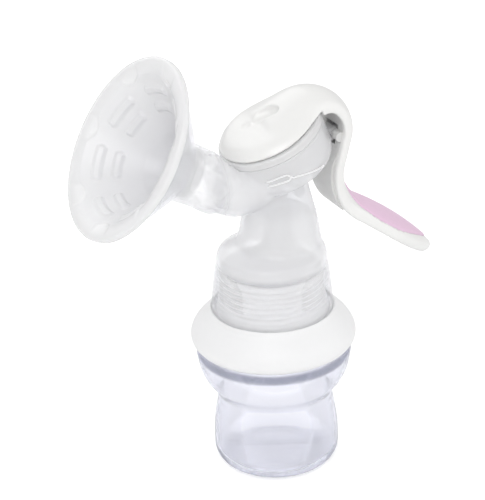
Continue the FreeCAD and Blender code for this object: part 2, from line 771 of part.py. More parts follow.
def make_breast_cushion():
    """Silicone cushion: rolled rim over the shield's lip, lining of the cone, short tube in the stem."""
    body = new_body("breast_cushion")
    gap = size("soft_gap")
    wall = size("cushion_wall")
    shield = size("shield_radius")
    depth = -size("shield_depth")
    reach = size("stem_bore") - gap
    lip = shield + gap
    edge = lip + wall
    throat = 0.6
    front = 1.6
    back = -1.2
    roll = wall / 2
    corners = [
        (reach - wall, -size("cushion_tube")),
        (reach, -size("cushion_tube")),
        (reach, depth - 3),
        (reach + throat, depth + 1.4),
        (shield - 3.6, -1.0),
        (shield - 1.4, gap),
        (lip, gap),
        (lip, back),
        (edge - roll, back),
        (edge, back + roll),
        (edge, front - roll),
        (edge - roll, front),
        (shield - 3.6, front),
        (reach + throat - wall, depth + 3.0),
        (reach - wall, depth - 3),
    ]
    bowl = size("bowl_arc") - size("shield_wall")
    arcs = {3: bowl - gap, 8: roll, 10: roll, 12: -(bowl - gap - wall)}
    spin(body, "cushion_spin", outline(shield_sketch(body, "cushion_outline"), corners, arcs))
    return body


def make_duckbill_valve():
    """Silicone one-way valve: sleeve on the spout, flange, and two lips that meet in a slit."""
    body = new_body("duckbill_valve")
    shift = size("neck_shift")
    wall = size("valve_wall")
    inner = size("spout_radius") + 0.05
    top = level("spout_tip") + 8
    tip = level("spout_tip")
    sleeve = [
        (inner, tip - 0.1),
        (inner, top),
        (inner + wall, top),
        (inner + wall, tip + 3),
        (size("valve_flange"), tip + 2),
        (size("valve_flange"), tip + 0.6),
        (inner + wall, tip - 0.4),
        (inner + wall, tip - 2),
        (inner - 1, tip - 2),
        (inner - 1, tip - 0.1),
    ]
    sleeve_sketch = new_sketch(body, "sleeve_outline", "XZ_Plane", (shift, 0, 0))
    spin(body, "valve_sleeve", outline(sleeve_sketch, sleeve))
    bill_low = tip - 2 - (size("valve_length") - 10)
    bill = new_sketch(body, "bill_outline", "XZ_Plane", (shift, 0, 0))
    half = inner + wall
    lip = 0.9
    outline(bill, [(-half, tip - 1.9), (-lip, bill_low), (lip, bill_low), (half, tip - 1.9)])
    slab(body, "bill_wedge", bill, (inner + wall) * 1.55)
    slot = new_sketch(body, "slot_outline", "XZ_Plane", (shift, 0, 0))
    open_half = half - wall - 0.9
    slit = 0.15
    outline(slot, [(-open_half, tip + 0.5), (-slit, bill_low - 1), (slit, bill_low - 1), (open_half, tip + 0.5)])
    slab(body, "bill_slot", slot, (inner + wall) * 1.55 - 2 * wall, cut=True)
    return body


def make_diaphragm():
    """Silicone cup: thick rim between the cap and the cup, thin wall, floor and hub for the rod."""
    body = new_body("diaphragm")
    skin = size("skin")
    rim = size("rim_drop")
    top = -(size("cap_gap"))
    outer = size("cup_radius")
    liner = outer - size("body_wall") - size("soft_gap")
    deep = -size("diaphragm_depth")
    hub = size("hub_radius")
    foot = size("foot_disc")
    low = rim - size("fit_gap")
    corners = [
        (size("rod_radius") + 0.1, deep + 1.2),
        (hub, deep + 1.2),
        (hub, deep + skin - 1.6),
        (liner - 3.2, deep),
        (liner - skin - 1.0, deep + 3.0),
        (liner - skin, -rim),
        (liner - skin, top - 0.5),
        (liner - skin + 0.5, top),
        (outer - 0.4, top),
        (outer, top - 0.5),
        (outer, -low),
        (liner, -low),
        (liner - 1.0, deep + 3.0),
        (liner - 3.2, deep - skin),
        (hub + 1, deep - 2.6),
        (hub, deep - 3.4),
        (0, deep - 3.4),
        (0, deep - 1.4),
        (foot + 0.1, deep - 1.4),
        (foot + 0.1, deep - 0.1),
        (size("rod_radius") + 0.1, deep - 0.1),
    ]
    spin(body, "diaphragm_spin", outline(cup_sketch(body, "diaphragm_outline"), corners, {3: 3.2, 12: -3.4}))
    return body


def make_diaphragm_stem():
    """Pull rod: foot disc in the diaphragm's hub, ball head in the cap's slot."""
    body = new_body("diaphragm_stem")
    deep = -size("diaphragm_depth")
    rod = size("rod_radius")
    ball = size("rod_ball")
    rise = size("ball_rise")
    neck = rise - root(ball * ball - rod * rod)
    corners = [
        (0, deep - 1.3),
        (size("foot_disc"), deep - 1.3),
        (size("foot_disc"), deep - 0.2),
        (rod, deep - 0.2),
        (rod, neck),
        (0, rise + ball),
    ]
    spin(body, "rod_spin", outline(cup_sketch(body, "rod_outline"), corners, {4: ball}))
    return body


# ---------------------------------------------------------------- handle


def bend_point(angle, inset):
    """A place on the bend, so far inside its outer face. Angle 90 is over the centre, 0 towards +X."""
    radius = size("bend_radius") - inset
    return size("bend_x") + cosine(angle) * radius, level("bend_height") + sine(angle) * radius


def spine_point(along, inset):
    """A place on the straight run under the bend."""
    x, height = bend_point(size("bend_end"), inset)
    turn = size("bend_end")
    return x + sine(turn) * along, height - cosine(turn) * along


def heel_centre():
    """Centre of the reverse bend, which lies outside the strap."""
    return spine_point(size("spine_length"), -size("heel_radius"))


def heel_point(angle, inset):
    """A place on the reverse bend. The angle is that of the face's own outward direction."""
    x, height = heel_centre()
    radius = size("heel_radius") + inset
    return x - cosine(angle) * radius, height - sine(angle) * radius


def bow_centre():
    """Centre of the paddle's long curve."""
    lean = 90 - size("paddle_slope")
    return heel_point(lean, size("paddle_bow"))


def paddle_place(inset=0):
    """Where the paddle begins."""
    return heel_point(90 - size("paddle_slope"), inset)


def paddle_sketch(body, name):
    """A sketch on the plane that touches the paddle where it begins, x down the paddle and y across it."""
    x, height = paddle_place()
    return new_sketch(body, name, "XY_Plane", (x, 0, height), (0, 1, 0), size("paddle_slope"))


def paddle_sketch_side(body, name):
    """A sketch on the middle plane: x down the paddle where it begins, y out of its face."""
    x, height = paddle_place()
    return new_sketch(body, name, "XZ_Plane", (x, height, 0), (0, 0, 1), -size("paddle_slope"))


def across_sketch(body, name, centre, angle):
    """A sketch across the strap: its origin at the centre of a bend, x across, y outwards at that angle."""
    x, height = centre
    return new_sketch(body, name, "YZ_Plane", (0, height, x), (1, 0, 0), 90 - angle)


def crown_outline(sketch, base, half, top, depth):
    """The strap's section between two depths: domed towards its back, straight at the sides and the rim.
    Base is where the crown of the back lies, measured outwards from the sketch's origin."""
    crown = size("bend_radius") - top
    shoulder = base - top - crown + root(crown * crown - half * half)
    low = base - depth
    return outline(sketch, [(-half, low), (half, low), (half, shoulder), (-half, shoulder)], {2: crown})


def layer_outline(sketch, base, half, top, bottom):
    """A layer of the strap's back between two depths, both domed alike."""
    over = size("bend_radius") - top
    under = size("bend_radius") - bottom
    high = base - top - over + root(over * over - half * half)
    low = base - bottom - under + root(under * under - half * half)
    return outline(sketch, [(-half, low), (half, low), (half, high), (-half, high)], {0: -under, 2: over})


def swing(body, name, sketch, angle, backwards=False, cut=False):
    """Turns a section about the sketch's level axis through part of a circle."""
    kind = "PartDesign::Groove" if cut else "PartDesign::Revolution"
    feature = body.newObject(kind, name)
    feature.Profile = sketch
    feature.ReferenceAxis = (sketch, ["H_Axis"])
    feature.Reversed = backwards
    angle = as_size(angle)
    feature.Angle = angle.value
    feature.setExpression("Angle", angle.text)
    return finish_feature(body, feature, sketch)


def run(body, name, sketch, length, backwards=False, cut=False):
    """Carries a section straight on along its own direction."""
    kind = "PartDesign::Pocket" if cut else "PartDesign::Pad"
    feature = body.newObject(kind, name)
    feature.Profile = sketch
    feature.Reversed = backwards != cut
    length = as_size(length)
    feature.Length = length.value
    feature.setExpression("Length", length.text)
    return finish_feature(body, feature, sketch)


def turned(length, radius):
    """The angle in degrees that a length takes up on a circle."""
    return as_size(length) / radius * (180 / math.pi)


def bend_middle():
    """Centre of the bend."""
    return size("bend_x"), level("bend_height")


def crowned_paddle(body, prefix, half, top, depth, length, cut=False, shape=crown_outline):
    """A length of the paddle, from where it begins."""
    lean = 90 - size("paddle_slope")
    bow = size("paddle_bow")
    section = across_sketch(body, f"{prefix}_paddle_outline", bow_centre(), lean)
    shape(section, bow, half, top, depth)
    swing(body, f"{prefix}_paddle", section, turned(length, bow), cut=cut)


def crowned_heel(body, prefix, half, top, depth, turn, cut=False, shape=crown_outline):
    """The last part of the reverse bend, through so many degrees up from the paddle."""
    lean = 90 - size("paddle_slope")
    section = across_sketch(body, f"{prefix}_heel_outline", heel_centre(), lean)
    shape(section, -size("heel_radius"), half, top, depth)
    swing(body, f"{prefix}_heel", section, turn, cut=cut)


def crowned_strap(body, prefix, half, top, depth, start, cut=False):
    """Reverse bend, straight run and bend, up to the angle start on the bend."""
    end = size("bend_end")
    crowned_heel(body, prefix, half, top, depth, 90 - size("paddle_slope") - end, cut)
    spine = across_sketch(body, f"{prefix}_spine_outline", bend_middle(), end)
    crown_outline(spine, size("bend_radius"), half, top, depth)
    run(body, f"{prefix}_spine", spine, size("spine_length"), cut=cut)
    bend = across_sketch(body, f"{prefix}_bend_outline", bend_middle(), end)
    crown_outline(bend, size("bend_radius"), half, top, depth)
    swing(body, f"{prefix}_bend", bend, start - end, backwards=True, cut=cut)


def strap_run(body, prefix, half, top, depth, length, cut=False):
    """The straight run from the bend down to the cap's dome."""
    start = size("bend_start")
    section = across_sketch(body, f"{prefix}_run_outline", bend_middle(), start)
    crown_outline(section, size("bend_radius"), half, top, depth)
    run(body, f"{prefix}_run", section, length, backwards=True, cut=cut)


def box_outline(sketch, left, bottom, right, top):
    """An upright oblong."""
    return outline(sketch, [(left, bottom), (right, bottom), (right, top), (left, top)])


def paddle_plan(sketch):
    """What is cut away round the paddle, seen square to it: everything outside its rounded plan."""
    strap = size("strap_half")
    half = size("paddle_half")
    widen = size("widen_run")
    hip = size("paddle_hip")
    length = size("paddle_length")
    turn = size("tip_turn")
    rise = half - strap
    wave = (widen * widen + rise * rise) / (rise * 4)
    slant = (1 - cosine(turn)) / sine(turn)
    run_out = length - hip
    tip_arc = (half - run_out * slant) / (cosine(turn) - slant * (1 - sine(turn)))
    side_arc = (run_out - tip_arc * (1 - sine(turn))) / sine(turn)
    nose = tip_arc * cosine(turn)
    nose_place = length - tip_arc * (1 - sine(turn))
    far = half + 5
    end = length + 14
    corners = [
        (0, far),
        (0, strap),
        (widen / 2, strap + rise / 2),
        (widen, half),
        (hip, half),
        (nose_place, nose),
        (length, 0),
        (nose_place, -nose),
        (hip, -half),
        (widen, -half),
        (widen / 2, -strap - rise / 2),
        (0, -strap),
        (0, -far),
        (end, -far),
        (end, far),
    ]
    arcs = {1: wave, 2: -wave, 4: -side_arc, 5: -tip_arc, 6: -tip_arc, 7: -side_arc, 9: -wave, 10: wave}
    return outline(sketch, corners, arcs)


def pad_frame(sketch, gap):
    """What is cut away round the grip pad: everything outside its pointed oval, drawn in by gap."""
    start = size("pad_start") + gap
    end = size("pad_end") - gap
    half = size("pad_half") - gap
    reach = (end - start) / 2
    radius = (reach * reach + half * half) / (half * 2)
    far = half + 8
    left = start - 12
    right = end + 12
    oval = outline(sketch, [(start, 0), (end, 0)], {0: radius, 1: radius})
    return box_outline(oval, left, -far, right, far)


def pad_blank(body, prefix, gap, top, depth):
    """A layer of the handle's back in the shape of the grip pad."""
    half = size("pad_half") + 2
    length = size("pad_end") + 4
    turn = turned(4 - size("pad_start"), size("heel_radius")) + 8
    crowned_paddle(body, prefix, half, top, depth, length, shape=layer_outline)
    crowned_heel(body, prefix, half, top, depth, turn, shape=layer_outline)
    far = size("paddle_length")
    slab(body, f"{prefix}_trim", pad_frame(paddle_sketch(body, f"{prefix}_frame"), gap), far * 2, cut=True)


def strap_depth_at(point):
    """How deep a place lies under the crown line of the strap or paddle."""
    bend = Vector(size("bend_x").value, 0, level("bend_height").value)
    end = math.radians(size("bend_end").value)
    out = Vector(math.cos(end), 0, math.sin(end))
    down = Vector(math.sin(end), 0, -math.cos(end))
    flat = Vector(point.x, 0, point.z)
    along = (flat - bend).dot(down)
    length = size("spine_length").value
    if along <= 0:
        return size("bend_radius").value - (flat - bend).Length
    if along <= length:
        return size("bend_radius").value - (flat - bend).dot(out)
    slope = math.radians(size("paddle_slope").value)
    x, height = paddle_place()
    ahead = (flat - Vector(x.value, 0, height.value)).dot(Vector(math.cos(slope), 0, -math.sin(slope)))
    if ahead <= 0:
        x, height = heel_centre()
        return (flat - Vector(x.value, 0, height.value)).Length - size("heel_radius").value
    x, height = bow_centre()
    return size("paddle_bow").value - (flat - Vector(x.value, 0, height.value)).Length


def strap_edge(depth):
    """Accepts the long edges of the handle at the crown's side, or at one depth if it is given."""
    crown = size("bend_radius").value
    near = 0.05

    def on_level(point):
        want = depth.value if depth else crown - math.sqrt(crown**2 - point.y**2)
        return abs(strap_depth_at(point) - want) < near

    def chosen(edge):
        first, last = edge.ParameterRange
        middle = edge.valueAt((first + last) / 2)
        ends = [vertex.Point for vertex in edge.Vertexes]
        crossing = len(ends) == 2 and abs(ends[0].y + ends[1].y) < near and abs(ends[0].y) > near
        return not crossing and on_level(middle) and all(on_level(end) for end in ends)

    return chosen


def make_handle_shell():
    """White shell: cap over the cup, channelled strap over the hinge, and paddle."""
    body = new_body("handle_shell")
    depth = size("strap_depth")
    strap = size("strap_half")
    start = size("bend_start")
    length = size("paddle_length")
    none = as_size(0)

    # paddle, cut to its plan, then the strap that carries it
    crowned_paddle(body, "shell", size("paddle_half") + 0.5, none, depth, length + 8)
    slab(body, "paddle_cut", paddle_plan(paddle_sketch(body, "plan_outline")), length * 3, cut=True)
    crowned_strap(body, "shell", strap, none, depth, start)
    round_edges(body, "back_rounding", size("back_round"), strap_edge(None))
    round_edges(body, "rim_rounding", size("rim_round"), strap_edge(depth))

    # cap: a dome cut off by the plane of its edge, and the strap's run down to it
    strap_run(body, "shell", strap, none, depth, size("run_length"))
    cap = size("cap_radius")
    rise = size("cap_rise")
    wall = size("handle_wall")
    below = -6.0
    side_round = 5.6
    crown = cap - 5.0
    sag = 1.6
    dome = [(0, below), (cap - 0.4, below), (cap, 0), (crown, rise - sag), (0, rise)]
    crown_arc = (crown * crown + sag * sag) / (2 * sag)
    cap_place = (size("cup_x"), level("cup_height"), 0)
    dome_sketch = new_sketch(body, "dome_outline", "XZ_Plane", cap_place, (0, 0, 1), size("cap_tilt"))
    spin(body, "cap_dome", outline(dome_sketch, dome, {2: side_round, 3: crown_arc}))
    relief = size("cap_relief")
    under = cup_sketch(body, "relief_outline")
    spin(body, "cup_relief", box_outline(under, 0, -size("relief_drop"), cap + relief, 0), cut=True)

    # hollow of the cap
    core = [
        (0, below - 1),
        (cap - wall - 0.4, below - 1),
        (cap - wall, -0.5),
        (cap - side_round - 0.6, rise - sag - wall),
        (0, rise - wall),
    ]
    core_sketch = new_sketch(body, "core_outline", "XZ_Plane", cap_place, (0, 0, 1), size("cap_tilt"))
    spin(body, "cap_hollow", outline(core_sketch, core, {2: side_round - 1.0}), cut=True)

    # channel along the strap, open to the pump
    channel = size("channel_half")
    low = depth + 2
    crowned_strap(body, "channel", channel, wall, low, start, cut=True)
    crowned_paddle(body, "channel", channel, wall, low, size("channel_foot"), cut=True)
    strap_run(body, "channel", channel, wall, low, size("run_length") / 2, cut=True)

    # the paddle's underside rises towards its tip
    thin = paddle_sketch_side(body, "thin_outline")
    tip = size("tip_thick")
    far = length + 10
    sag = length * length / (size("paddle_bow") * 2)
    under = [(size("thin_start"), -depth - 2.4), (length, -sag - tip), (far, -sag - tip), (far, -40), (size("thin_start"), -40)]
    slab(body, "tip_thinning", outline(thin, under), far * 2, cut=True)

    # slot for the rod's ball under the cap
    slot_wall = 2.0
    outer = size("slot_half") + slot_wall
    low = -(size("slot_drop") + size("slot_lip"))
    left = -size("slot_reach")
    back = size("slot_back")
    rails = cup_sketch(body, "rail_outline")
    slab(body, "slot_rails", box_outline(rails, left, low, back + 1.3, size("slot_top") + 0.8), outer * 2)
    slot = cup_sketch(body, "slot_outline")
    hole = box_outline(slot, left - 1, -size("slot_drop"), back, size("slot_top"))
    slab(body, "ball_slot", hole, size("slot_half") * 2, cut=True)
    gap = cup_sketch(body, "lip_outline")
    slab(body, "rod_gap", box_outline(gap, left - 1, low - 1, back, 0), size("slot_gap") * 2, cut=True)

    # seat of the grip pad
    seat = new_body("pad_seat")
    pad_blank(seat, "seat", none, -size("pad_seat_over"), size("pad_sink"))
    feature = body.newObject("PartDesign::Boolean", "pad_recess")
    feature.addObject(seat)
    feature.Type = "Cut"
    finish_feature(body, feature)
    return body


def make_handle_liner():
    """Inner frame of the handle: a web along the strap's channel, two ears and the hinge's trunnion."""
    body = new_body("handle_liner")
    half = size("channel_half") - size("liner_gap")
    floor = size("bend_radius") - size("handle_wall")
    outer = size("bend_radius") - root(floor * floor - half * half) + size("fit_gap")
    inner = size("liner_depth")
    deep = size("liner_heel_depth")
    bend = size("bend_radius")
    heel = size("heel_radius")
    length = size("spine_length")
    top = size("liner_start")
    end = size("liner_end")
    web = [
        bend_point(top, outer),
        spine_point(0, outer),
        spine_point(length, outer),
        heel_point(end, outer),
        heel_point(end, deep),
        spine_point(length, deep),
        spine_point(length / 2, inner),
        spine_point(0, inner),
        bend_point(top, inner),
    ]
    arcs = {0: -(bend - outer), 2: heel + outer, 4: -(heel + deep), 7: bend - inner}
    slab(body, "web", outline(new_sketch(body, "web_outline"), web, arcs), half * 2)
    pivot = (size("pivot_x"), level("pivot_height"), 0)
    ear = new_sketch(body, "ear_outline", "XZ_Plane", pivot)
    slab(body, "ears", round_outline(ear, size("ear_radius")), half * 2)
    reach = 4.5
    window = [spine_point(-reach, 4), spine_point(reach, 4), spine_point(reach, 12), spine_point(-reach, 12)]
    opening = outline(new_sketch(body, "window_outline"), window)
    slab(body, "lug_window", opening, size("ear_gap") * 2, cut=True)
    pin = new_sketch(body, "pin_outline", "XZ_Plane", pivot)
    slab(body, "trunnion", round_outline(pin, size("pin_radius")), half * 2 - 1)
    return body


def make_grip_pad():
    """Soft pad set in the paddle's outer face."""
    body = new_body("grip_pad")
    gap = size("fit_gap")
    proud = size("pad_thick") - size("pad_sink")
    pad_blank(body, "pad", gap, -proud, size("pad_sink") - gap)
    return body


BUILDERS = [
    make_bottle,
    make_bottle_seal,
    make_adapter_ring,
    make_pump_body,
    make_breast_cushion,
    make_duckbill_valve,
    make_diaphragm,
    make_diaphragm_stem,
    make_handle_shell,
    make_handle_liner,
    make_grip_pad,
]


def main():
    pieces = [build() for build in BUILDERS]
    DOC.recompute()
    for item in DOC.Objects:
        if "Invalid" in item.State or "Error" in item.State:
            raise RuntimeError(f"{item.Label} is in state {item.State}")
    for piece in pieces:
        if piece.Shape.isNull() or not piece.Shape.isValid():
            raise RuntimeError(f"{piece.Label} has no valid shape")
    os.makedirs("parts", exist_ok=True)
    for piece in pieces:
        piece.Shape.exportStep(f"parts/{piece.Label}.step")
        box = piece.Shape.BoundBox
        print(
            f"{piece.Label}: {len(piece.Shape.Solids)} solid, {piece.Shape.Volume / 1000:.2f} cm3, "
            f"x {box.XMin:.1f}..{box.XMax:.1f} y {box.YMin:.1f}..{box.YMax:.1f} z {box.ZMin:.1f}..{box.ZMax:.1f}"
        )


main()
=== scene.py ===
"""Looks of a manual breast pump on its feeding bottle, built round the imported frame.

Everything is in metres in the frame's own axes: +Z is up, the bottle's axis is Z, the breast shield
points to -X and the handle hangs at +X. The shapes are worked out in millimetres and made metres in
shape_mesh, the last step of each piece.

These axes carry the pieces, as they do in the frame:
  the bottle axis, which is Z,
  the cup axis, through the middle of the cup's rim, leaning towards the shield,
  the cap axis, through the same place and a little more upright, which only the cap's dome follows,
  the shield axis, through the middle of the shield's rim, rising towards the user.
"""

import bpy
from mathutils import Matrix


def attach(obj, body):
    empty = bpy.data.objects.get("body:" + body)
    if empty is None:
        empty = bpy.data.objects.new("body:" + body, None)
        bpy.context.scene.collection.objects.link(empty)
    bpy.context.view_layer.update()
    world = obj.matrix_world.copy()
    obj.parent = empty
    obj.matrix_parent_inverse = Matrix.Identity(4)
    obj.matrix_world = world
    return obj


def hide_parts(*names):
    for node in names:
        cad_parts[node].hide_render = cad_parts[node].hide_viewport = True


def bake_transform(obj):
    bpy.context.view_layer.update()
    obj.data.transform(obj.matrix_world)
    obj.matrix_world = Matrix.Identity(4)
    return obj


bl_info = {
    "name": "Breast Pump Looks",
    "version": (1, 0, 0),
    "blender": (4, 5, 0),
    "location": "View3D > Sidebar > Pump",
    "description": "Builds the surfaces, finishes and studio of a manual breast pump",
    "category": "Object",
}

import math

import bmesh
import bpy
import numpy as np
from bpy.props import FloatProperty, FloatVectorProperty, PointerProperty
from bpy.types import Operator, Panel, PropertyGroup
from mathutils import Matrix, Vector

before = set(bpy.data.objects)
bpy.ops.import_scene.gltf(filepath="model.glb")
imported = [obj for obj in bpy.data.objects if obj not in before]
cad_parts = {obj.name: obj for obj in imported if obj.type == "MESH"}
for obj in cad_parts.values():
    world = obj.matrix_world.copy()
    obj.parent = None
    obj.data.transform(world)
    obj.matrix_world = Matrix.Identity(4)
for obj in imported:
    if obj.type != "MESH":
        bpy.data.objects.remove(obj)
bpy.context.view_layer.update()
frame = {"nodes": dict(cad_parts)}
MM = 0.001

# ---------------------------------------------------------------- the axes, in millimetres

CUP_MIDDLE = np.array([0.5, 0.0, 164.8])
CUP_LEAN = math.radians(24.0)
CAP_LEAN = math.radians(20.0)
SHIELD_MIDDLE = np.array([-66.9, 0.0, 170.3])
SHIELD_RISE = math.radians(32.5)


def tilted_axis(middle, ahead, above):
    """An axis in the pump's middle plane, as its origin, its direction (-ahead, 0, above) made one long, and
    the direction (above, 0, ahead) square to it."""
    out = np.array((-ahead, 0.0, above))
    return middle, out / np.linalg.norm(out), np.array((above, 0.0, ahead))


BOTTLE_AXIS = tilted_axis(np.zeros(3), 0.0, 1.0)
CUP_AXIS = tilted_axis(CUP_MIDDLE, math.sin(CUP_LEAN), math.cos(CUP_LEAN))
CAP_AXIS = tilted_axis(CUP_MIDDLE, math.sin(CAP_LEAN), math.cos(CAP_LEAN))
SHIELD_AXIS = tilted_axis(SHIELD_MIDDLE, math.cos(SHIELD_RISE), math.sin(SHIELD_RISE))


def place_on(axis, radius, along, angle):
    """Points at a radius and a distance along an axis, at an angle round it from its square direction."""
    middle, out, up = axis
    side = np.cross(out, up)
    radius, along, angle = np.broadcast_arrays(radius, along, angle)
    return (
        middle
        + along[..., None] * out
        + (radius * np.cos(angle))[..., None] * up
        + (radius * np.sin(angle))[..., None] * side
    )


def seen_from(axis, x, y, z):
    """Distance from an axis, distance along it, and distance in its square direction."""
    middle, out, up = axis
    dx, dy, dz = x - middle[0], y - middle[1], z - middle[2]
    along = dx * out[0] + dy * out[1] + dz * out[2]
    across = dx * up[0] + dy * up[1] + dz * up[2]
    away = np.sqrt(across**2 + dy**2)
    return away, along, across


# ---------------------------------------------------------------- meshes


MERGE_DISTANCE = 2e-7


def shape_mesh(name, points, faces, body, slot, replaced=(), painted_shade=None):
    """Puts points in millimetres and quads or triangles into a mesh object that rides on a body, in the
    finish of its slot. The faces are turned round if their volume comes out negative, so that they point
    outwards. painted_shade is one number per point, by which the finish goes over to its painted shade
    colour."""
    points = np.ascontiguousarray(points, float).reshape(-1, 3) * MM
    mesh = bpy.data.meshes.new(name)
    count, corners = faces.shape
    mesh.vertices.add(len(points))
    mesh.vertices.foreach_set("co", points.astype(np.float32).ravel())
    mesh.loops.add(count * corners)
    mesh.polygons.add(count)
    a, b, c = points[faces[:, 0]], points[faces[:, 1]], points[faces[:, 2]]
    volume = np.einsum("ij,ij->i", a, np.cross(b, c)).sum()
    if corners == 4:
        volume += np.einsum("ij,ij->i", a, np.cross(c, points[faces[:, 3]])).sum()
    if volume < 0:
        faces = faces[:, ::-1]
    mesh.loops.foreach_set("vertex_index", np.ascontiguousarray(faces, np.int32).ravel())
    mesh.polygons.foreach_set("loop_start", np.arange(0, count * corners, corners, dtype=np.int32))
    mesh.update(calc_edges=True)
    if painted_shade is not None:
        layer = mesh.attributes.new("PaintedShade", "FLOAT", "POINT")
        layer.data.foreach_set("value", np.ascontiguousarray(painted_shade, np.float32).ravel())
    shell = bmesh.new()
    shell.from_mesh(mesh)
    bmesh.ops.remove_doubles(shell, verts=shell.verts, dist=MERGE_DISTANCE)
    for face in shell.faces:
        face.smooth = True
    shell.to_mesh(mesh)
    shell.free()
    piece = bpy.data.objects.new(name, mesh)
    bpy.context.scene.collection.objects.link(piece)
    piece.data.materials.append(use_finish(slot))
    if body:
        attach(piece, body)
    if replaced:
        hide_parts(*replaced)
    return piece


def grid_faces(rows, columns, close_rows=True):
    """Quads of a grid of rows by columns points, whose columns always close round and whose rows may."""
    row = np.arange(rows if close_rows else rows - 1)
    i, j = np.meshgrid(row, np.arange(columns), indexing="ij")
    i, j = i.ravel(), j.ravel()
    ni, nj = (i + 1) % rows, (j + 1) % columns
    return np.stack([i * columns + j, ni * columns + j, ni * columns + nj, i * columns + nj], 1)


def rounded_line(corners, radii, steps=5):
    """A closed outline with each corner cut round: the arc of radius R that touches both sides starts
    R / tan(half the corner's angle) before the corner, and never takes over 0.45 of a side."""
    corners = np.array(corners, float)
    count = len(corners)
    points = []
    for index in range(count):
        here = corners[index]
        before, after = corners[index - 1] - here, corners[(index + 1) % count] - here
        reach_before, reach_after = np.linalg.norm(before), np.linalg.norm(after)
        before, after = before / reach_before, after / reach_after
        half = math.acos(float(np.clip(before @ after, -1, 1))) / 2
        setback = min(radii[index] / max(math.tan(half), 1e-6), 0.45 * reach_before, 0.45 * reach_after)
        if setback < 1e-4 or half > math.pi / 2 - 0.01:
            points.append(here)
            continue
        radius = setback * math.tan(half)
        middle = here + (before + after) / np.linalg.norm(before + after) * radius / math.sin(half)
        start, stop = here + before * setback - middle, here + after * setback - middle
        turn = math.atan2(start[0] * stop[1] - start[1] * stop[0], start @ stop)
        for step in np.linspace(0, turn, steps):
            rotation = np.array([[math.cos(step), -math.sin(step)], [math.sin(step), math.cos(step)]])
            points.append(middle + rotation @ start)
    return np.array(points)


def dense_line(points, step):
    """A closed outline with extra points, so that none of its sides is longer than step."""
    result = []
    for here, after in zip(points, np.roll(points, -1, axis=0)):
        count = max(1, int(math.ceil(np.linalg.norm(after - here) / step)))
        for share in np.arange(count) / count:
            result.append(here + (after - here) * share)
    return np.array(result)


def smooth_value(at, places, values):
    """The curve through (places, values) whose slope at each point is that of its neighbours' chord."""
    places, values = np.asarray(places, float), np.asarray(values, float)
    slope = np.gradient(values, places)
    at = np.clip(at, places[0], places[-1])
    index = np.clip(np.searchsorted(places, at, side="right") - 1, 0, len(places) - 2)
    width = places[index + 1] - places[index]
    t = (at - places[index]) / width
    return (
        (1 + 2 * t) * (1 - t) ** 2 * values[index]
        + t * (1 - t) ** 2 * width * slope[index]
        + t**2 * (3 - 2 * t) * values[index + 1]
        + t**2 * (t - 1) * width * slope[index + 1]
    )


def full_turn(count):
    """Evenly spaced angles round a whole turn, the last a step short of the first."""
    return np.linspace(0, 2 * math.pi, count, endpoint=False)


def held(value):
    """A value held between 0 and 1."""
    return np.clip(value, 0, 1)


def eased(value):
    """A value held between 0 and 1 that starts and stops softly: v squared times 3 less 2 v."""
    value = held(value)
    return value * value * (3 - 2 * value)


def turned_grid(profile, segments):
    """Radius, place along the axis and angle of a closed profile of (radius, along) carried round an axis."""
    return np.broadcast_arrays(profile[:, :1], profile[:, 1:], full_turn(segments))


def turned_mesh(name, axis, grid, body, slot, replaced=(), painted_shade=None):
    """A grid of radius, place along an axis and angle as a mesh object that is closed both ways."""
    radius, along, angle = grid
    points = place_on(axis, np.maximum(radius, 0), along, angle)
    return shape_mesh(name, points, grid_faces(*radius.shape), body, slot, replaced, painted_shade)


def union(a, b, blend):
    """The lower of two fields, with a fillet of about that radius where they meet."""
    share = held(0.5 + 0.5 * (b - a) / blend)
    return b * (1 - share) + a * share - blend * share * (1 - share)


def overlap(a, b, blend):
    """The higher of two fields, with the edge between them rounded by about that radius."""
    return -union(-a, -b, blend)


def band(value, low, high, blend):
    """How far a value lies outside the band between two limits, rounded where the limits meet."""
    return overlap(low - value, value - high, blend)


def carved(body, hollow, blend):
    """A field with another one taken out of it, and the edge rounded by about that radius."""
    return overlap(body, -hollow, blend)


def cell_points(value, mixed):
    """For each grid cell that the surface passes through, the mean of the places where it crosses the
    cell's twelve edges, each found by straight interpolation."""
    base = np.argwhere(mixed)
    total = np.zeros((len(base), 3))
    hits = np.zeros(len(base))
    corners = [np.array([i, j, k]) for i in (0, 1) for j in (0, 1) for k in (0, 1)]
    for first in corners:
        for axis in range(3):
            if first[axis]:
                continue
            step = np.eye(3, dtype=int)[axis]
            a = value[tuple((base + first).T)]
            b = value[tuple((base + first + step).T)]
            cross = (a < 0) != (b < 0)
            share = np.where(cross, a / np.where(cross, a - b, 1), 0)
            total += np.where(cross[:, None], first + share[:, None] * step, 0)
            hits += cross
    return base, base + total / hits[:, None]


SETTLE_STEPS = 4
PROBE = 0.02
LEAST_SLOPE = 0.04


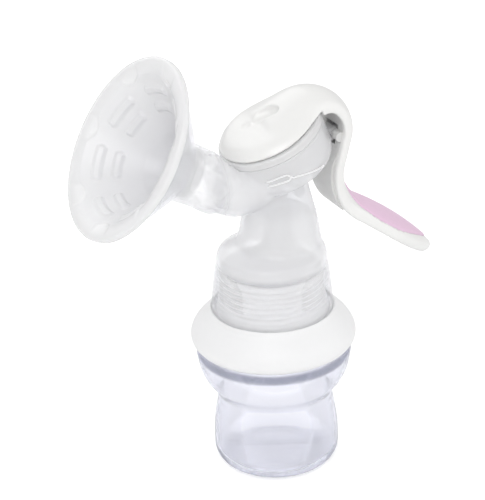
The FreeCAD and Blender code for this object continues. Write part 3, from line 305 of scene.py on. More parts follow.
def skin(field, low, high, cell):
    """The closed surface on which field(x, y, z) is zero, with its inside negative. The field is worked
    out on a cubic grid; each cell that the surface crosses gets a point, and each grid edge that it crosses
    gets a quad between its four cells. The points then move onto the surface down the field's slope."""
    low, high = np.array(low, float), np.array(high, float)
    axes = [np.arange(a, b + cell, cell) for a, b in zip(low, high)]
    x, y, z = np.meshgrid(*axes, indexing="ij", sparse=True)
    value = field(x, y, z)
    inside = value < 0
    corner = inside.astype(np.int8)
    nx, ny, nz = np.array(inside.shape) - 1
    count = sum(corner[i : i + nx, j : j + ny, k : k + nz] for i in (0, 1) for j in (0, 1) for k in (0, 1))
    mixed = (count > 0) & (count < 8)
    base, points = cell_points(value, mixed)
    index = np.full(mixed.shape, -1)
    index[mixed] = np.arange(len(base))
    points = points * cell + low
    unit = np.eye(3, dtype=int)
    faces = []
    for axis in range(3):
        near = inside[tuple(slice(0, size - s) for size, s in zip(inside.shape, unit[axis]))]
        far = inside[tuple(slice(s, size) for size, s in zip(inside.shape, unit[axis]))]
        edge = np.argwhere(near != far)
        u, v = unit[(axis + 1) % 3], unit[(axis + 2) % 3]
        quad = np.stack([index[tuple((edge - shift).T)] for shift in (0 * u, u, u + v, v)], 1)
        flip = far[tuple(edge.T)]
        quad[flip] = quad[flip][:, ::-1]
        faces.append(quad)
    reach = cell * 0.6
    for _ in range(SETTLE_STEPS):
        here = field(*points.T)
        slope = np.stack(
            [(field(*(points + s).T) - field(*(points - s).T)) / (2 * PROBE) for s in np.eye(3) * PROBE], 1
        )
        steep = np.maximum((slope**2).sum(1), LEAST_SLOPE)
        move = -(here / steep)[:, None] * slope
        stride = np.linalg.norm(move, axis=1, keepdims=True)
        points = points + move * np.minimum(1, reach / np.maximum(stride, 1e-9))
    return points, np.concatenate(faces)


# ---------------------------------------------------------------- finishes


def add_node(tree, kind, settings=(), **sockets):
    """A new shader node, with its settings made first and then its sockets set by name."""
    node = tree.nodes.new("ShaderNode" + kind)
    for label, value in dict(settings).items():
        setattr(node, label, value)
    for label, value in sockets.items():
        node.inputs[label.replace("_", " ")].default_value = value
    return node


def wire(tree, *links):
    """Links nodes: each link says the node and output that it leaves, and the node and input it enters."""
    for start, leaving, stop, entering in links:
        tree.links.new(start.outputs[leaving], stop.inputs[entering])


def clean_tree(holder):
    """The emptied node tree of a material or world."""
    holder.use_nodes = True
    holder.node_tree.nodes.clear()
    return holder.node_tree


CLOUD_SCALE = 400.0
FINE_SCALE = 900.0
TONE_DROP = 0.02
COLOR_MIX = {"data_type": "RGBA"}


def finish(name, color, roughness, grain=0.04, bump=0.05, shaded=None, **sockets):
    """A procedural plastic or silicone. Noise over the Object coordinates varies its tone and roughness a
    little, and a finer noise gives it the faint unevenness of a moulded surface. Where the mesh's
    PaintedShade is one the colour goes over to a darker painted shade colour. The other sockets are set
    plainly."""
    material = bpy.data.materials.new(name)
    tree = clean_tree(material)
    darker = [max(value - TONE_DROP, 0) for value in color]
    output = add_node(tree, "OutputMaterial")
    shader = add_node(tree, "BsdfPrincipled", **sockets)
    place = add_node(tree, "TexCoord")
    cloud = add_node(tree, "TexNoise", Scale=CLOUD_SCALE, Detail=3.0)
    fine = add_node(tree, "TexNoise", Scale=FINE_SCALE, Detail=2.0)
    tone = add_node(tree, "Mix", COLOR_MIX, A=(*color, 1), B=(*darker, 1))
    rough = add_node(tree, "MapRange", To_Min=max(roughness - grain, 0), To_Max=roughness + grain)
    relief = add_node(tree, "Bump", Strength=bump, Distance=0.0001)
    colored = tone
    # painted shade: the mesh's shade attribute mixes the colour towards a darker one
    if shaded:
        share = add_node(tree, "Attribute", {"attribute_name": "PaintedShade"})
        colored = add_node(tree, "Mix", COLOR_MIX, B=(*shaded, 1))
        wire(tree, (share, "Fac", colored, "Factor"), (tone, "Result", colored, "A"))
    wire(
        tree,
        (place, "Object", cloud, "Vector"),
        (place, "Object", fine, "Vector"),
        (cloud, "Fac", tone, "Factor"),
        (colored, "Result", shader, "Base Color"),
        (cloud, "Fac", rough, "Value"),
        (rough, "Result", shader, "Roughness"),
        (fine, "Fac", relief, "Height"),
        (relief, "Normal", shader, "Normal"),
        (shader, "BSDF", output, "Surface"),
    )
    return material


def node_of(tree, kind):
    """The only node of a kind in a tree."""
    return next(node for node in tree.nodes if node.type == kind)


def clear_finish(name, color, roughness, density, cloudy, transmission, **more):
    """A clear or milky plastic. Light passes through it, and a volume that absorbs by density makes long
    ways through it, as along an edge, take on the cloudy colour."""
    grain = min(0.02, roughness)
    material = finish(name, color, roughness, grain, Transmission_Weight=transmission, IOR=1.46, **more)
    tree = material.node_tree
    absorb = add_node(tree, "VolumeAbsorption", Color=(*cloudy, 1), Density=density)
    wire(tree, (absorb, "Volume", node_of(tree, "OUTPUT_MATERIAL"), "Volume"))
    return material


def cloud_part(material, height, plane_x, fade, clear, milky):
    """Makes a clear plastic milky above a height and on the handle's side of a plane square to X, in
    metres. Two soft ramps over the Object coordinates, one up Z and one along X, are multiplied, and the
    product carries transmission and opacity from their clear to their milky values."""
    tree = material.node_tree
    shader = node_of(tree, "BSDF_PRINCIPLED")
    place = add_node(tree, "TexCoord")
    parts = add_node(tree, "SeparateXYZ")
    share = add_node(tree, "Math", {"operation": "MULTIPLY"})
    wire(tree, (place, "Object", parts, "Vector"))
    for index, (axis, limit) in enumerate((("Z", height), ("X", plane_x))):
        soft = {"interpolation_type": "SMOOTHSTEP"}
        ramp = add_node(tree, "MapRange", soft, From_Min=limit - fade, From_Max=limit + fade)
        wire(tree, (parts, axis, ramp, "Value"), (ramp, "Result", share, index))
    for label, start, stop in zip(("Transmission Weight", "Alpha"), clear, milky):
        level = add_node(tree, "MapRange", To_Min=start, To_Max=stop)
        wire(tree, (share, "Value", level, "Value"), (level, "Result", shader, label))
    return material


def make_finishes(colors):
    """Every finish of the pump, by the name of its slot in the record."""
    bottle = clear_finish(
        "ClearBottle",
        colors.bottle,
        roughness=0.03,
        density=50.0,
        cloudy=(0.56, 0.60, 0.82),
        transmission=1.0,
        # painted shade: the dark band round the bead, under the ring
        shaded=(0.28, 0.29, 0.36),
        Alpha=0.8,
    )
    body = clear_finish(
        "ClearBody", colors.body, roughness=0.12, density=12.0, cloudy=(0.72, 0.74, 0.86), transmission=0.8
    )
    cloud_part(body, height=0.1005, plane_x=-0.026, fade=0.003, clear=(0.8, 0.42), milky=(0.1, 0.55))
    silicone = clear_finish(
        "Silicone",
        colors.silicone,
        roughness=0.24,
        density=6.0,
        cloudy=(0.70, 0.71, 0.80),
        transmission=0.12,
        bump=0.06,
        # painted shade: darker inside the petals, deepest towards the throat
        shaded=(0.74, 0.74, 0.765),
        Alpha=0.75,
    )
    return {
        "clear_bottle": bottle,
        "clear_body": body,
        "silicone": silicone,
        "white_shell": finish("WhiteShell", colors.shell, 0.30, Coat_Weight=0.15, Coat_Roughness=0.2),
        "white_ring": finish("WhiteRing", colors.ring, 0.46),
        "frame_grey": finish("FrameGrey", colors.frame, 0.42),
        "pink_soft": finish("PinkSoft", colors.pad, 0.52, bump=0.12, Sheen_Weight=0.15),
    }


FINISHES = {}


def use_finish(slot):
    """The finish of a slot, made once from the scene's colours."""
    if not FINISHES:
        FINISHES.update(make_finishes(bpy.context.scene.pump_colors))
    return FINISHES[slot]


# ---------------------------------------------------------------- bottle, seal and ring

NECK_RADIUS = 28.2
NECK_BORE = 26.2
NECK_TOP = 73.0
BEAD_LOW = 56.5
BEAD_HIGH = 60.6
BOTTLE_HEIGHTS = (9, 15, 21, 27, 32, 35.5, 39.2, 42.5, 47, 52, 55.8)
BOTTLE_RADII = (29, 28.9, 28.4, 27.5, 26.8, 26.8, 28.6, 31.2, 33.6, 35.0, 35.3)


def screw_ridge(along, angle, low, high, height, pitch):
    """How far a thread stands out of a wall between two heights. The share of a turn that is left of height
    over pitch less angle gives a rounded saw, which fades in and out over part of a turn at its ends."""
    phase = ((along - low) / pitch - angle / (2 * math.pi)) % 1.0
    ridge = eased(1.5 - np.abs(phase - 0.5) * 5)
    fade = held((along - low) / (pitch * 0.8)) * held((high - along) / (pitch * 0.5))
    return np.where((along > low) & (along < high), height * ridge * fade, 0)


def bottle_profile(wall, bead_rise):
    """Outline of the bottle's wall, up the outside and down the inside. A gentle waist rises into a
    wide shoulder under a raised bead, and the neck carries the ring's thread."""
    shoulder = BOTTLE_RADII[-1]
    base = [(0, 1.2), (9, 1.1), (15, 0.8), (19, 0.3), (20.5, 0.05)]
    angle = np.linspace(-math.pi / 2, 0, 12)
    foot = np.stack([21.5 + 7.5 * np.cos(angle), 7.5 + 7.5 * np.sin(angle)], 1)
    up = np.linspace(9, 55.8, 60)
    side = np.stack([smooth_value(up, BOTTLE_HEIGHTS, BOTTLE_RADII), up], 1)
    bead = [(shoulder, 56.0), (shoulder + bead_rise, BEAD_LOW), (shoulder + bead_rise, BEAD_HIGH)]
    top = [(34.9, 61.4), (30.0, 61.4), (28.4, 62.6), (NECK_RADIUS, 63), (NECK_RADIUS, 72.4)]
    lip = [(27.8, NECK_TOP), (26.6, NECK_TOP), (NECK_BORE, 72.4), (NECK_BORE, 62.0)]
    under_neck = [(27.4, 60.2), (32.2, 59.9), (33.6, 59.2)]
    down = np.linspace(58.2, 9, 60)
    inner_side = np.stack([smooth_value(down, BOTTLE_HEIGHTS, BOTTLE_RADII) - wall, down], 1)
    back = angle[::-1]
    inner_foot = np.stack([20.5 + (8.5 - wall) * np.cos(back), 8.5 + 6.7 * np.sin(back)], 1)
    floor = [(17, 2.2), (9, 2.7), (0, 2.9)]
    return np.concatenate([base, foot, side, bead, top, lip, under_neck, inner_side, inner_foot, floor])


def build_bottle(looks):
    """Clear bottle, with a helical thread on its neck. A painted shade, a dark band under the ring,
    falls off either side of the bead.
    """
    profile = dense_line(bottle_profile(looks.wall / MM, looks.bead_rise / MM), 1.2)
    radius, along, angle = turned_grid(profile, 180)
    neck = np.abs(radius - NECK_RADIUS) < 0.05
    ridge = screw_ridge(along, angle, low=63.5, high=72.0, height=0.8, pitch=4.0) * neck
    # painted shade: a dark band on the bead just under the ring, fading either side of it
    painted_shade = held(2.4 - np.abs(along - 58.0) / 1.25) * (radius > 33.0)
    grid = (radius + ridge, along, angle)
    turned_mesh("Bottle", BOTTLE_AXIS, grid, "bottle", "clear_bottle", ("bottle",), painted_shade)


def build_seal():
    """Sealing washer on the bottle's lip, with rounded edges."""
    corners = [(24.4, 73.05), (29.0, 73.05), (29.0, 74.55), (24.4, 74.55)]
    grid = turned_grid(rounded_line(corners, [0.5] * 4), 120)
    turned_mesh("BottleSeal", BOTTLE_AXIS, grid, "seal", "silicone", ("bottle_seal",))


SKIRT_RADII = (36.5, 37.5, 37.9, 37.5, 36.2, 34, 31.6, 29.6)
SKIRT_HEIGHTS = (61.9, 63.2, 65, 67.4, 70, 72.7, 75.1, 77.2)


def build_ring(looks):
    """White adapter ring: a bulging skirt that narrows to a rounded mouth, a ledge, and a spigot whose
    rounded thread shows through the pump's skirt. The skirt's line is smoothed by the distance along it."""
    walk = np.concatenate([[0], np.cumsum(np.hypot(np.diff(SKIRT_RADII), np.diff(SKIRT_HEIGHTS)))])
    fine = np.linspace(0, walk[-1], 40)
    skirt = np.stack([smooth_value(fine, walk, SKIRT_RADII), smooth_value(fine, walk, SKIRT_HEIGHTS)], 1)
    mouth = [(28.9, 78.3), (28.4, 78.8), (28.0, 78.5), (28.0, 76.6), (25.7, 76.6), (25.6, 78.6), (24.8, 81)]
    spigot = [(23.6, 83.5), (23.1, 86), (23.1, 97.2), (22.6, 98), (22.3, 98), (22.0, 97.5), (22.0, 74.6)]
    inside = [(29.35, 74.6), (29.35, 63.2), (31.2, 63.2), (31.2, 73.4)]
    skirt_inside = [(33.0, 71.2), (34.6, 69), (35.7, 66), (35.7, 64.5), (35.2, 61.9)]
    profile = dense_line(np.concatenate([skirt, mouth, spigot, inside, skirt_inside]), 0.5)
    radius, along, angle = turned_grid(profile, 150)
    threaded = (radius > 23.05) & (radius < 25.3) & (along > 79)
    height, pitch = looks.thread_height / MM, looks.thread_pitch / MM
    ridge = screw_ridge(along, angle, 80.5, 97.0, height, pitch) * threaded
    turned_mesh(
        "AdapterRing", BOTTLE_AXIS, (radius + ridge, along, angle), "pump", "white_ring", ("adapter_ring",)
    )


# ---------------------------------------------------------------- pump body

BELL_LOW = 77.0
BELL_HIGH = 148.0
BELL_WALL = 2.0
BELL_HEIGHTS = (77, 83, 89, 96, 102, 104.5, 106.5, 108, 109.5, 112, 115.5, 119.5, 123, 129.2, 134, 148)
BELL_MIDDLES = (0, 0, 0.1, 0.2, 0.3, 0.4, 0.9, 2.2, 3.5, 4.3, 4.6, 4.7, 4.8, 5.2, 6.0, 7.2)
BELL_RADII = (27.8, 27.6, 27, 26.2, 25.2, 24.9, 24, 22, 20.2, 19, 18.2, 17.5, 16.8, 14.9, 13, 9.4)
THREAD_BORE = 23.9
THREAD_TOP = 99
CUP_RADIUS = 24.2
CUP_FOOT = 22.8
CUP_LIP = 4.0
CUP_TAPER = 0.08
CUP_LIP_RADIUS = 24.55
WELL_RADIUS = 22.2
WELL_FLOOR = 20.4
WELL_TAPER = 0.07
CAP_EDGE_RADIUS = 25.7
HINGE = (31.3, 157.5)
LUG_RADIUS = 2.8
LUG_HALF = 4.4
EYE_RADIUS = 1.45
SPOUT_X = 4.2
SPOUT_RADIUS = 6.5
SPOUT_LOW = 104.0
SPOUT_HIGH = 126.0
MILK_RADIUS = 4.5
AIR_RADIUS = 2.5
RIM_RADIUS = 39.8
SHIELD_WALL = 1.8
STEM_WALL = 2.6
STEM_BACK = 46
STEM_ELBOW = (-16.9, 141.1)
STEM_ROOT = (4.2, 138.0)
CONE_BACKS = (0, 2.4, 8, 14, 20, 25, 28.5)
CONE_RADII = (40.6, 38.2, 33.2, 27.6, 21.4, 16.0, 13.9)


def bell_distance(x, y, z):
    """Distance outside the bell and its neck: to the circle at that height, less by the wall's slope."""
    middle = smooth_value(z, BELL_HEIGHTS, BELL_MIDDLES)
    low, radius, high = (smooth_value(z + step, BELL_HEIGHTS, BELL_RADII) for step in (-0.2, 0, 0.2))
    slope = (high - low) / 0.4
    return (np.hypot(x - middle, y) - radius) / np.sqrt(1 + slope**2)


def cup_radius(along, lip, taper):
    """Radius of the cup at a place along its axis: it narrows evenly below the lip."""
    return lip + (np.clip(along, -20, -CUP_LIP) + CUP_LIP) * taper


def round_cone(x, y, z, start, stop, radius_start, radius_stop):
    """Distance outside a limb in the middle plane whose radius changes evenly from end to end."""
    sx, sz = start
    ex, ez = stop
    dx, dz = ex - sx, ez - sz
    share = held(((x - sx) * dx + (z - sz) * dz) / (dx * dx + dz * dz))
    away = np.sqrt((x - sx - share * dx) ** 2 + y**2 + (z - sz - share * dz) ** 2)
    return away - (radius_start + share * (radius_stop - radius_start))


def stem_distance(x, y, z, inset):
    """Distance outside the bent stem behind the shield, drawn in by inset: two limbs from a place on the
    shield's axis over the elbow to the root."""
    start_x = SHIELD_MIDDLE[0] + math.cos(SHIELD_RISE) * STEM_BACK
    start_z = SHIELD_MIDDLE[2] - math.sin(SHIELD_RISE) * STEM_BACK
    first = round_cone(x, y, z, (start_x, start_z), STEM_ELBOW, 13.2 - inset, 12.8 - inset)
    last = round_cone(x, y, z, STEM_ELBOW, STEM_ROOT, 12.8 - inset, 11.2 - inset)
    return union(first, last, 2.0)


def shield_distance(away, along, inset):
    """Distance outside the shield's cone and the straight stem behind it, drawn in by inset: the distance
    to the circle at that place, less where the cone is wide."""
    back = np.clip(-along, 0, 60)
    radius = smooth_value(back, (*CONE_BACKS, 34, 60), (*CONE_RADII, 13.4, 13.1))
    wide = smooth_value(back, (0, 22, 30, 60), (1.42, 1.45, 1.0, 1.0))
    return (away - radius) / wide + inset


def pump_body_field(x, y, z):
    """The clear moulding: the fields of bell, neck, cup, stem and shield joined with fillets, and then the
    fields of their hollows taken out."""
    cup_away, cup_along, cup_across = seen_from(CUP_AXIS, x, y, z)
    away, along, _ = seen_from(SHIELD_AXIS, x, y, z)

    # outside
    bell = overlap(bell_distance(x, y, z), band(z, BELL_LOW, BELL_HIGH, 0.6), 1.2)
    cup = overlap(cup_away - cup_radius(cup_along, CUP_RADIUS, CUP_TAPER), -CUP_FOOT - cup_along, 7.0)
    cup = overlap(cup, cup_along + CUP_LIP, 0.6)
    cone = overlap(shield_distance(away, along, 0.0), -along - 50, 1.0)
    shield = overlap(union(stem_distance(x, y, z, 0.0), cone, 1.5), along + 1.0, 0.8)
    rim = overlap(away - RIM_RADIUS, np.abs(along + 1.0) - 1.0, 0.9)
    body = union(union(bell, union(shield, rim, 1.2), 3.5), cup, 3.5)

    # hinge lug on the side of the cup
    lug_x, lug_z = x - HINGE[0], z - HINGE[1]
    toward = lug_x * math.cos(CUP_LEAN) + lug_z * math.sin(CUP_LEAN)
    upward = -lug_x * math.sin(CUP_LEAN) + lug_z * math.cos(CUP_LEAN)
    lug = np.hypot(np.clip(toward, -9, 0) - toward, upward) - LUG_RADIUS
    body = union(body, overlap(lug, np.abs(y) - LUG_HALF, 0.8), 1.6)

    # hollows of the bell, the cup and the shield with its stem
    bell_inside = bell_distance(x, y, z) + BELL_WALL
    bore = overlap(np.hypot(x, y) - THREAD_BORE, bell_inside, 0.3)
    bell_inside = overlap(np.where(z < THREAD_TOP, bore, bell_inside), z - 125.0, 3.0)
    well = overlap(cup_away - cup_radius(cup_along, WELL_RADIUS, WELL_TAPER), -WELL_FLOOR - cup_along, 5.0)
    funnel = overlap(shield_distance(away, along, SHIELD_WALL), -along - 49, 1.0)
    throat = overlap(union(funnel, stem_distance(x, y, z, STEM_WALL), 1.5), x - 1.0, 3.0)
    body = carved(body, bell_inside, 0.8)
    body = carved(body, well, 0.6)
    body = carved(body, throat, 0.8)

    # room for the diaphragm's rim and the cap over the cup
    over = overlap(cup_away - CUP_LIP_RADIUS, -CUP_LIP - cup_along, 0.2)
    cap_room = overlap(cup_away - CAP_EDGE_RADIUS, -0.25 - cup_along, 0.2)
    body = carved(body, union(over, cap_room, 0.1), 0.3)

    # spout with its bore, and the air passage up to the cup
    spout_away = np.hypot(x - SPOUT_X, y)
    body = union(body, overlap(spout_away - SPOUT_RADIUS, band(z, SPOUT_LOW, SPOUT_HIGH, 0.4), 0.6), 1.0)
    milk = overlap(spout_away - MILK_RADIUS, band(z, SPOUT_LOW - 1.0, 133.0, 0.4), 0.4)
    air = overlap(np.hypot(cup_across, y) - AIR_RADIUS, band(cup_along, -38.0, -18.0, 0.4), 0.4)
    body = carved(body, union(milk, air, 0.6), 0.5)
    return carved(body, overlap(np.hypot(lug_x, lug_z) - EYE_RADIUS, np.abs(y) - 6.0, 0.1), 0.3)


def build_pump_body(looks):
    """The clear moulding, as the skin of its field."""
    points, faces = skin(pump_body_field, (-92, -42, 75), (37, 42, 206), looks.cell / MM)
    shape_mesh("PumpBody", points, faces, "pump", "clear_body", ("pump_body",))


def tube_along(name, points, radius, body, slot, sides=10):
    """A thin rounded rib along points: circles square to the path, drawn in to nothing at both ends."""
    points = np.array(points, float)
    ahead = np.gradient(points, axis=0)
    ahead /= np.linalg.norm(ahead, axis=1, keepdims=True)
    first = np.cross(ahead, (0.2, 0.5, 1.0))
    first /= np.linalg.norm(first, axis=1, keepdims=True)
    second = np.cross(ahead, first)
    angle = full_turn(sides)
    taper = np.ones(len(points)) * radius
    taper[0] = taper[-1] = 0
    taper[1] = taper[-2] = radius * 0.75
    rings = points[:, None] + taper[:, None, None] * (
        first[:, None] * np.cos(angle)[None, :, None] + second[:, None] * np.sin(angle)[None, :, None]
    )
    shape_mesh(name, rings, grid_faces(len(points), sides, close_rows=False), body, slot)


# lines on the cup's near side: degrees round the cup axis, and distance along it
CUP_LINE_ANGLES = (-134, -126, -118, -112, -108.5, -106.6, -104.6, -100, -92, -83, -74, -66)
CUP_LINE_PLACES = (-10.9, -10.6, -10.3, -10.4, -10.9, -12.2, -13.3, -13.8, -14.9, -16.3, -17.6, -18.4)
HAIRPIN_ANGLES = (-134, -126, -118, -111.5, -108.4, -106.9)
HAIRPIN_PLACES = (-13.4, -13.4, -13.5, -13.7, -13.3, -12.4)


def build_cup_line(looks):
    """The wandering rib on the cup: two smooth lines laid on the cup's wall, which meet at a bend."""
    for name, angle, along in (
        ("CupLine", CUP_LINE_ANGLES, CUP_LINE_PLACES),
        ("CupHairpin", HAIRPIN_ANGLES, HAIRPIN_PLACES),
    ):
        walk = np.arange(len(angle))
        fine = np.linspace(0, len(angle) - 1, 6 * len(angle))
        angle, along = smooth_value(fine, walk, angle), smooth_value(fine, walk, along)
        path = place_on(CUP_AXIS, cup_radius(along, CUP_LIP_RADIUS, CUP_TAPER), along, np.radians(angle))
        tube_along(name, path, looks.line_radius / MM, "pump", "white_ring")


# ---------------------------------------------------------------- soft pieces

PETALS = 7
PETAL_TURN = 0.158
RIBS = ((29.6, 0.29, 1.45), (23.8, 0.26, 1.4))
PETAL_INWARD = 0.70
PETAL_FORWARD = 0.71
LINING_DEPTH = 2.1
LINING_SLOPE = 1.42
TUBE_BORE = 9.3
TUBE_RADIUS = 10.7
TUBE_END = 33.7
CUSHION_WALL = 1.35


def petal_relief(radius, angle, rise, rib):
    """Height of the cushion's petals over its cone, and their painted shade, which darkens the inside of the
    petals and grows deeper towards the throat. Seven petals end in a wavy step below the rim, and each
    carries a long outer rib and a short inner one, laid round the cone like rounded bars.
    RIBS gives each one's radius, the angle that it reaches to either side and its half width."""
    turn = (angle * PETALS / (2 * math.pi) + PETAL_TURN) % 1.0 - 0.5
    edge = 34.9 + 1.4 * np.cos(2 * math.pi * turn) - 0.6 * np.cos(4 * math.pi * turn)
    step = eased((edge - radius) / 0.7 + 0.5)
    lift = rise * step * held((radius - 12.5) / 3.0)
    spread = turn * 2 * math.pi / PETALS
    for middle, reach, width in RIBS:
        beyond = np.maximum(np.abs(spread) - reach * 0.82, 0) * middle
        lift = lift + rib * eased(1.35 - np.hypot(radius - middle, beyond) / width)
    # painted shade: darker inside the petals' step, deepest towards the throat
    return lift, step * (0.25 + 0.75 * held((32 - radius) / 18))


def build_cushion(looks):
    """Silicone cushion: rolled rim over the shield's lip, lining of the cone and a short tube in the stem.
    Its outside follows the shield's wall, and its inner face stands off it by the wall and the petals."""
    rows = (np.linspace(1.2, 4.0, 8)[:-1], np.linspace(4.0, 14.0, 60)[:-1], np.linspace(14.0, TUBE_END, 60))
    back = np.concatenate(rows)
    cone = smooth_value(back, (*CONE_BACKS, TUBE_END), (*CONE_RADII, 13.4))
    outer = np.maximum(np.minimum(cone - LINING_DEPTH * LINING_SLOPE, 38.0), TUBE_RADIUS)
    outside = np.stack([outer, -back], 1)
    far = np.linspace(0, 1, len(back))
    inside = np.stack([np.maximum(outer - 1.3, TUBE_BORE), -back + CUSHION_WALL * (1 - far**3)], 1)
    lip_under = [(39.4, 0.25), (40.1, 0.3), (40.1, -1.4), (40.7, -1.9), (41.4, -1.2)]
    lip_over = [(41.45, 0.6), (41.0, 1.3), (40.2, 1.6), (38.2, 1.5)]
    profile = np.concatenate([outside[::-1], lip_under, lip_over, inside[1:]])
    inner = np.arange(len(profile))[:, None] > len(profile) - len(inside)
    radius, along, angle = turned_grid(profile, 360)
    lift, painted_shade = petal_relief(radius, angle, looks.petal_rise / MM, looks.rib_rise / MM)
    lift = lift * inner
    grid = (radius - lift * PETAL_INWARD, along + lift * PETAL_FORWARD, angle)
    # the petals' painted shade goes on the cushion's inner face only
    turned_mesh("Cushion", SHIELD_AXIS, grid, "cushion", "silicone", ("breast_cushion",), painted_shade * inner)


# height, half width across the slit and half width along it, up the outside and down the inside
VALVE_LEVELS = (
    (112.0, 6.55, 6.55),
    (112.3, 7.0, 7.0),
    (111.8, 7.8, 7.8),
    (107.5, 7.85, 7.85),
    (106.8, 8.6, 8.6),
    (106.4, 9.7, 9.7),
    (106.0, 10.0, 10.0),
    (105.0, 9.9, 9.9),
    (104.4, 9.2, 9.2),
    (103.9, 8.2, 8.2),
    (103.0, 7.8, 7.8),
    (100.5, 5.6, 7.2),
    (97.0, 3.1, 6.6),
    (94.0, 1.5, 6.3),
    (92.4, 0.95, 6.1),
    (92.0, 0.6, 5.7),
    (92.4, 0.18, 5.2),
    (94.5, 0.3, 5.2),
    (98.0, 1.6, 5.3),
    (101.5, 4.4, 5.6),
    (103.6, 6.55, 6.55),
)


def build_valve():
    """Duckbill valve: a round sleeve and flange under the spout flatten into two lips. Each level is an
    oval whose width shrinks to a slit, and the inside follows at the wall's thickness."""
    height, half_x, half_y = np.array(VALVE_LEVELS).T[:, :, None]
    angle = full_turn(72)
    level = np.repeat(height, len(angle), 1)
    points = np.stack([SPOUT_X + half_x * np.cos(angle), half_y * np.sin(angle), level], 2)
    faces = grid_faces(len(VALVE_LEVELS), len(angle))
    shape_mesh("Valve", points, faces, "valve", "silicone", ("duckbill_valve",))


# radius, place along the cup axis, and radius of the corner
DIAPHRAGM_CORNERS = (
    (1.95, -15.3, 0.4),
    (5.4, -15.3, 0.6),
    (5.5, -16.4, 0.6),
    (15.6, -16.9, 3.0),
    (19.2, -13.2, 4.0),
    (20.4, -9.0, 2.0),
    (20.7, -4.2, 1.0),
    (20.7, -1.2, 0.6),
    (21.3, -0.5, 0.3),
    (23.7, -0.5, 0.6),
    (24.2, -1.1, 0.6),
    (24.2, -3.5, 0.5),
    (23.7, -3.95, 0.5),
    (22.0, -3.95, 0.4),
    (21.9, -9.0, 3.0),
    (20.6, -13.6, 4.0),
    (16.6, -17.9, 3.5),
    (6.4, -18.6, 1.5),
    (5.2, -19.8, 0.8),
    (0, -19.8, 0),
    (0, -17.85, 0),
    (3.5, -17.85, 0.2),
    (3.5, -16.6, 0.2),
    (1.95, -16.6, 0.2),
)


def build_diaphragm():
    """Silicone diaphragm: a thick rim band between cap and cup, a thin wall with one roll, a floor and a
    hub round the rod's foot. It rides on no body, and its placement is baked into its mesh."""
    corners = np.array(DIAPHRAGM_CORNERS)
    profile = dense_line(rounded_line(corners[:, :2], corners[:, 2]), 1.0)
    grid = turned_grid(profile, 150)
    piece = turned_mesh("Diaphragm", CUP_AXIS, grid, None, "silicone", ("diaphragm",))
    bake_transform(piece)


BALL_RADIUS = 2.6
BALL_DROP = 0.6


def build_pull_rod():
    """Pull rod: a foot in the diaphragm's hub, a slim rod and a ball head that hangs in the cap's slot."""
    angle = np.linspace(-1.2, math.pi / 2, 14)
    ball = np.stack([BALL_RADIUS * np.cos(angle), BALL_RADIUS * np.sin(angle) - BALL_DROP], 1)
    foot = [(0, -17.8), (3.0, -17.8), (3.4, -17.4), (3.4, -17.1), (3.0, -16.7), (2.2, -16.5), (1.8, -15.9)]
    grid = turned_grid(np.concatenate([foot, [(1.8, -3.4)], ball[1:]]), 48)
    turned_mesh("PullRod", CUP_AXIS, grid, "pull_rod", "white_shell", ("diaphragm_stem",))


# ---------------------------------------------------------------- handle

BEND_MIDDLE = np.array([20.22, 160.52])
BEND_RADIUS = 19.98
BEND_END = math.radians(-16.24)
SPINE_LENGTH = 11.86
HEEL_RADIUS = 17.89
PADDLE_SLOPE = math.radians(31.0)
BOW_RADIUS = 165.0
RUN_ANGLE = math.radians(116.0)
OUTWARD = np.array([math.cos(BEND_END), math.sin(BEND_END)])
DOWNWARD = np.array([math.sin(BEND_END), -math.cos(BEND_END)])
RUN_OUTWARD = np.array([math.cos(RUN_ANGLE), math.sin(RUN_ANGLE)])
RUN_AHEAD = np.array([-math.sin(RUN_ANGLE), math.cos(RUN_ANGLE)])
HEEL_MIDDLE = BEND_MIDDLE + OUTWARD * (BEND_RADIUS + HEEL_RADIUS) + DOWNWARD * SPINE_LENGTH
PADDLE_NORMAL = np.array([math.sin(PADDLE_SLOPE), math.cos(PADDLE_SLOPE)])
PADDLE_AHEAD = np.array([math.cos(PADDLE_SLOPE), -math.sin(PADDLE_SLOPE)])
PADDLE_START = HEEL_MIDDLE - PADDLE_NORMAL * HEEL_RADIUS
BOW_MIDDLE = PADDLE_START - PADDLE_NORMAL * BOW_RADIUS
HEEL_LENGTH = HEEL_RADIUS * math.acos(float(np.clip(OUTWARD @ PADDLE_NORMAL, -1, 1)))
SPINE_START = -HEEL_LENGTH - SPINE_LENGTH


def reach_along(direction, x, z):
    """How far a step of x and z goes in a direction."""
    return x * direction[0] + z * direction[1]


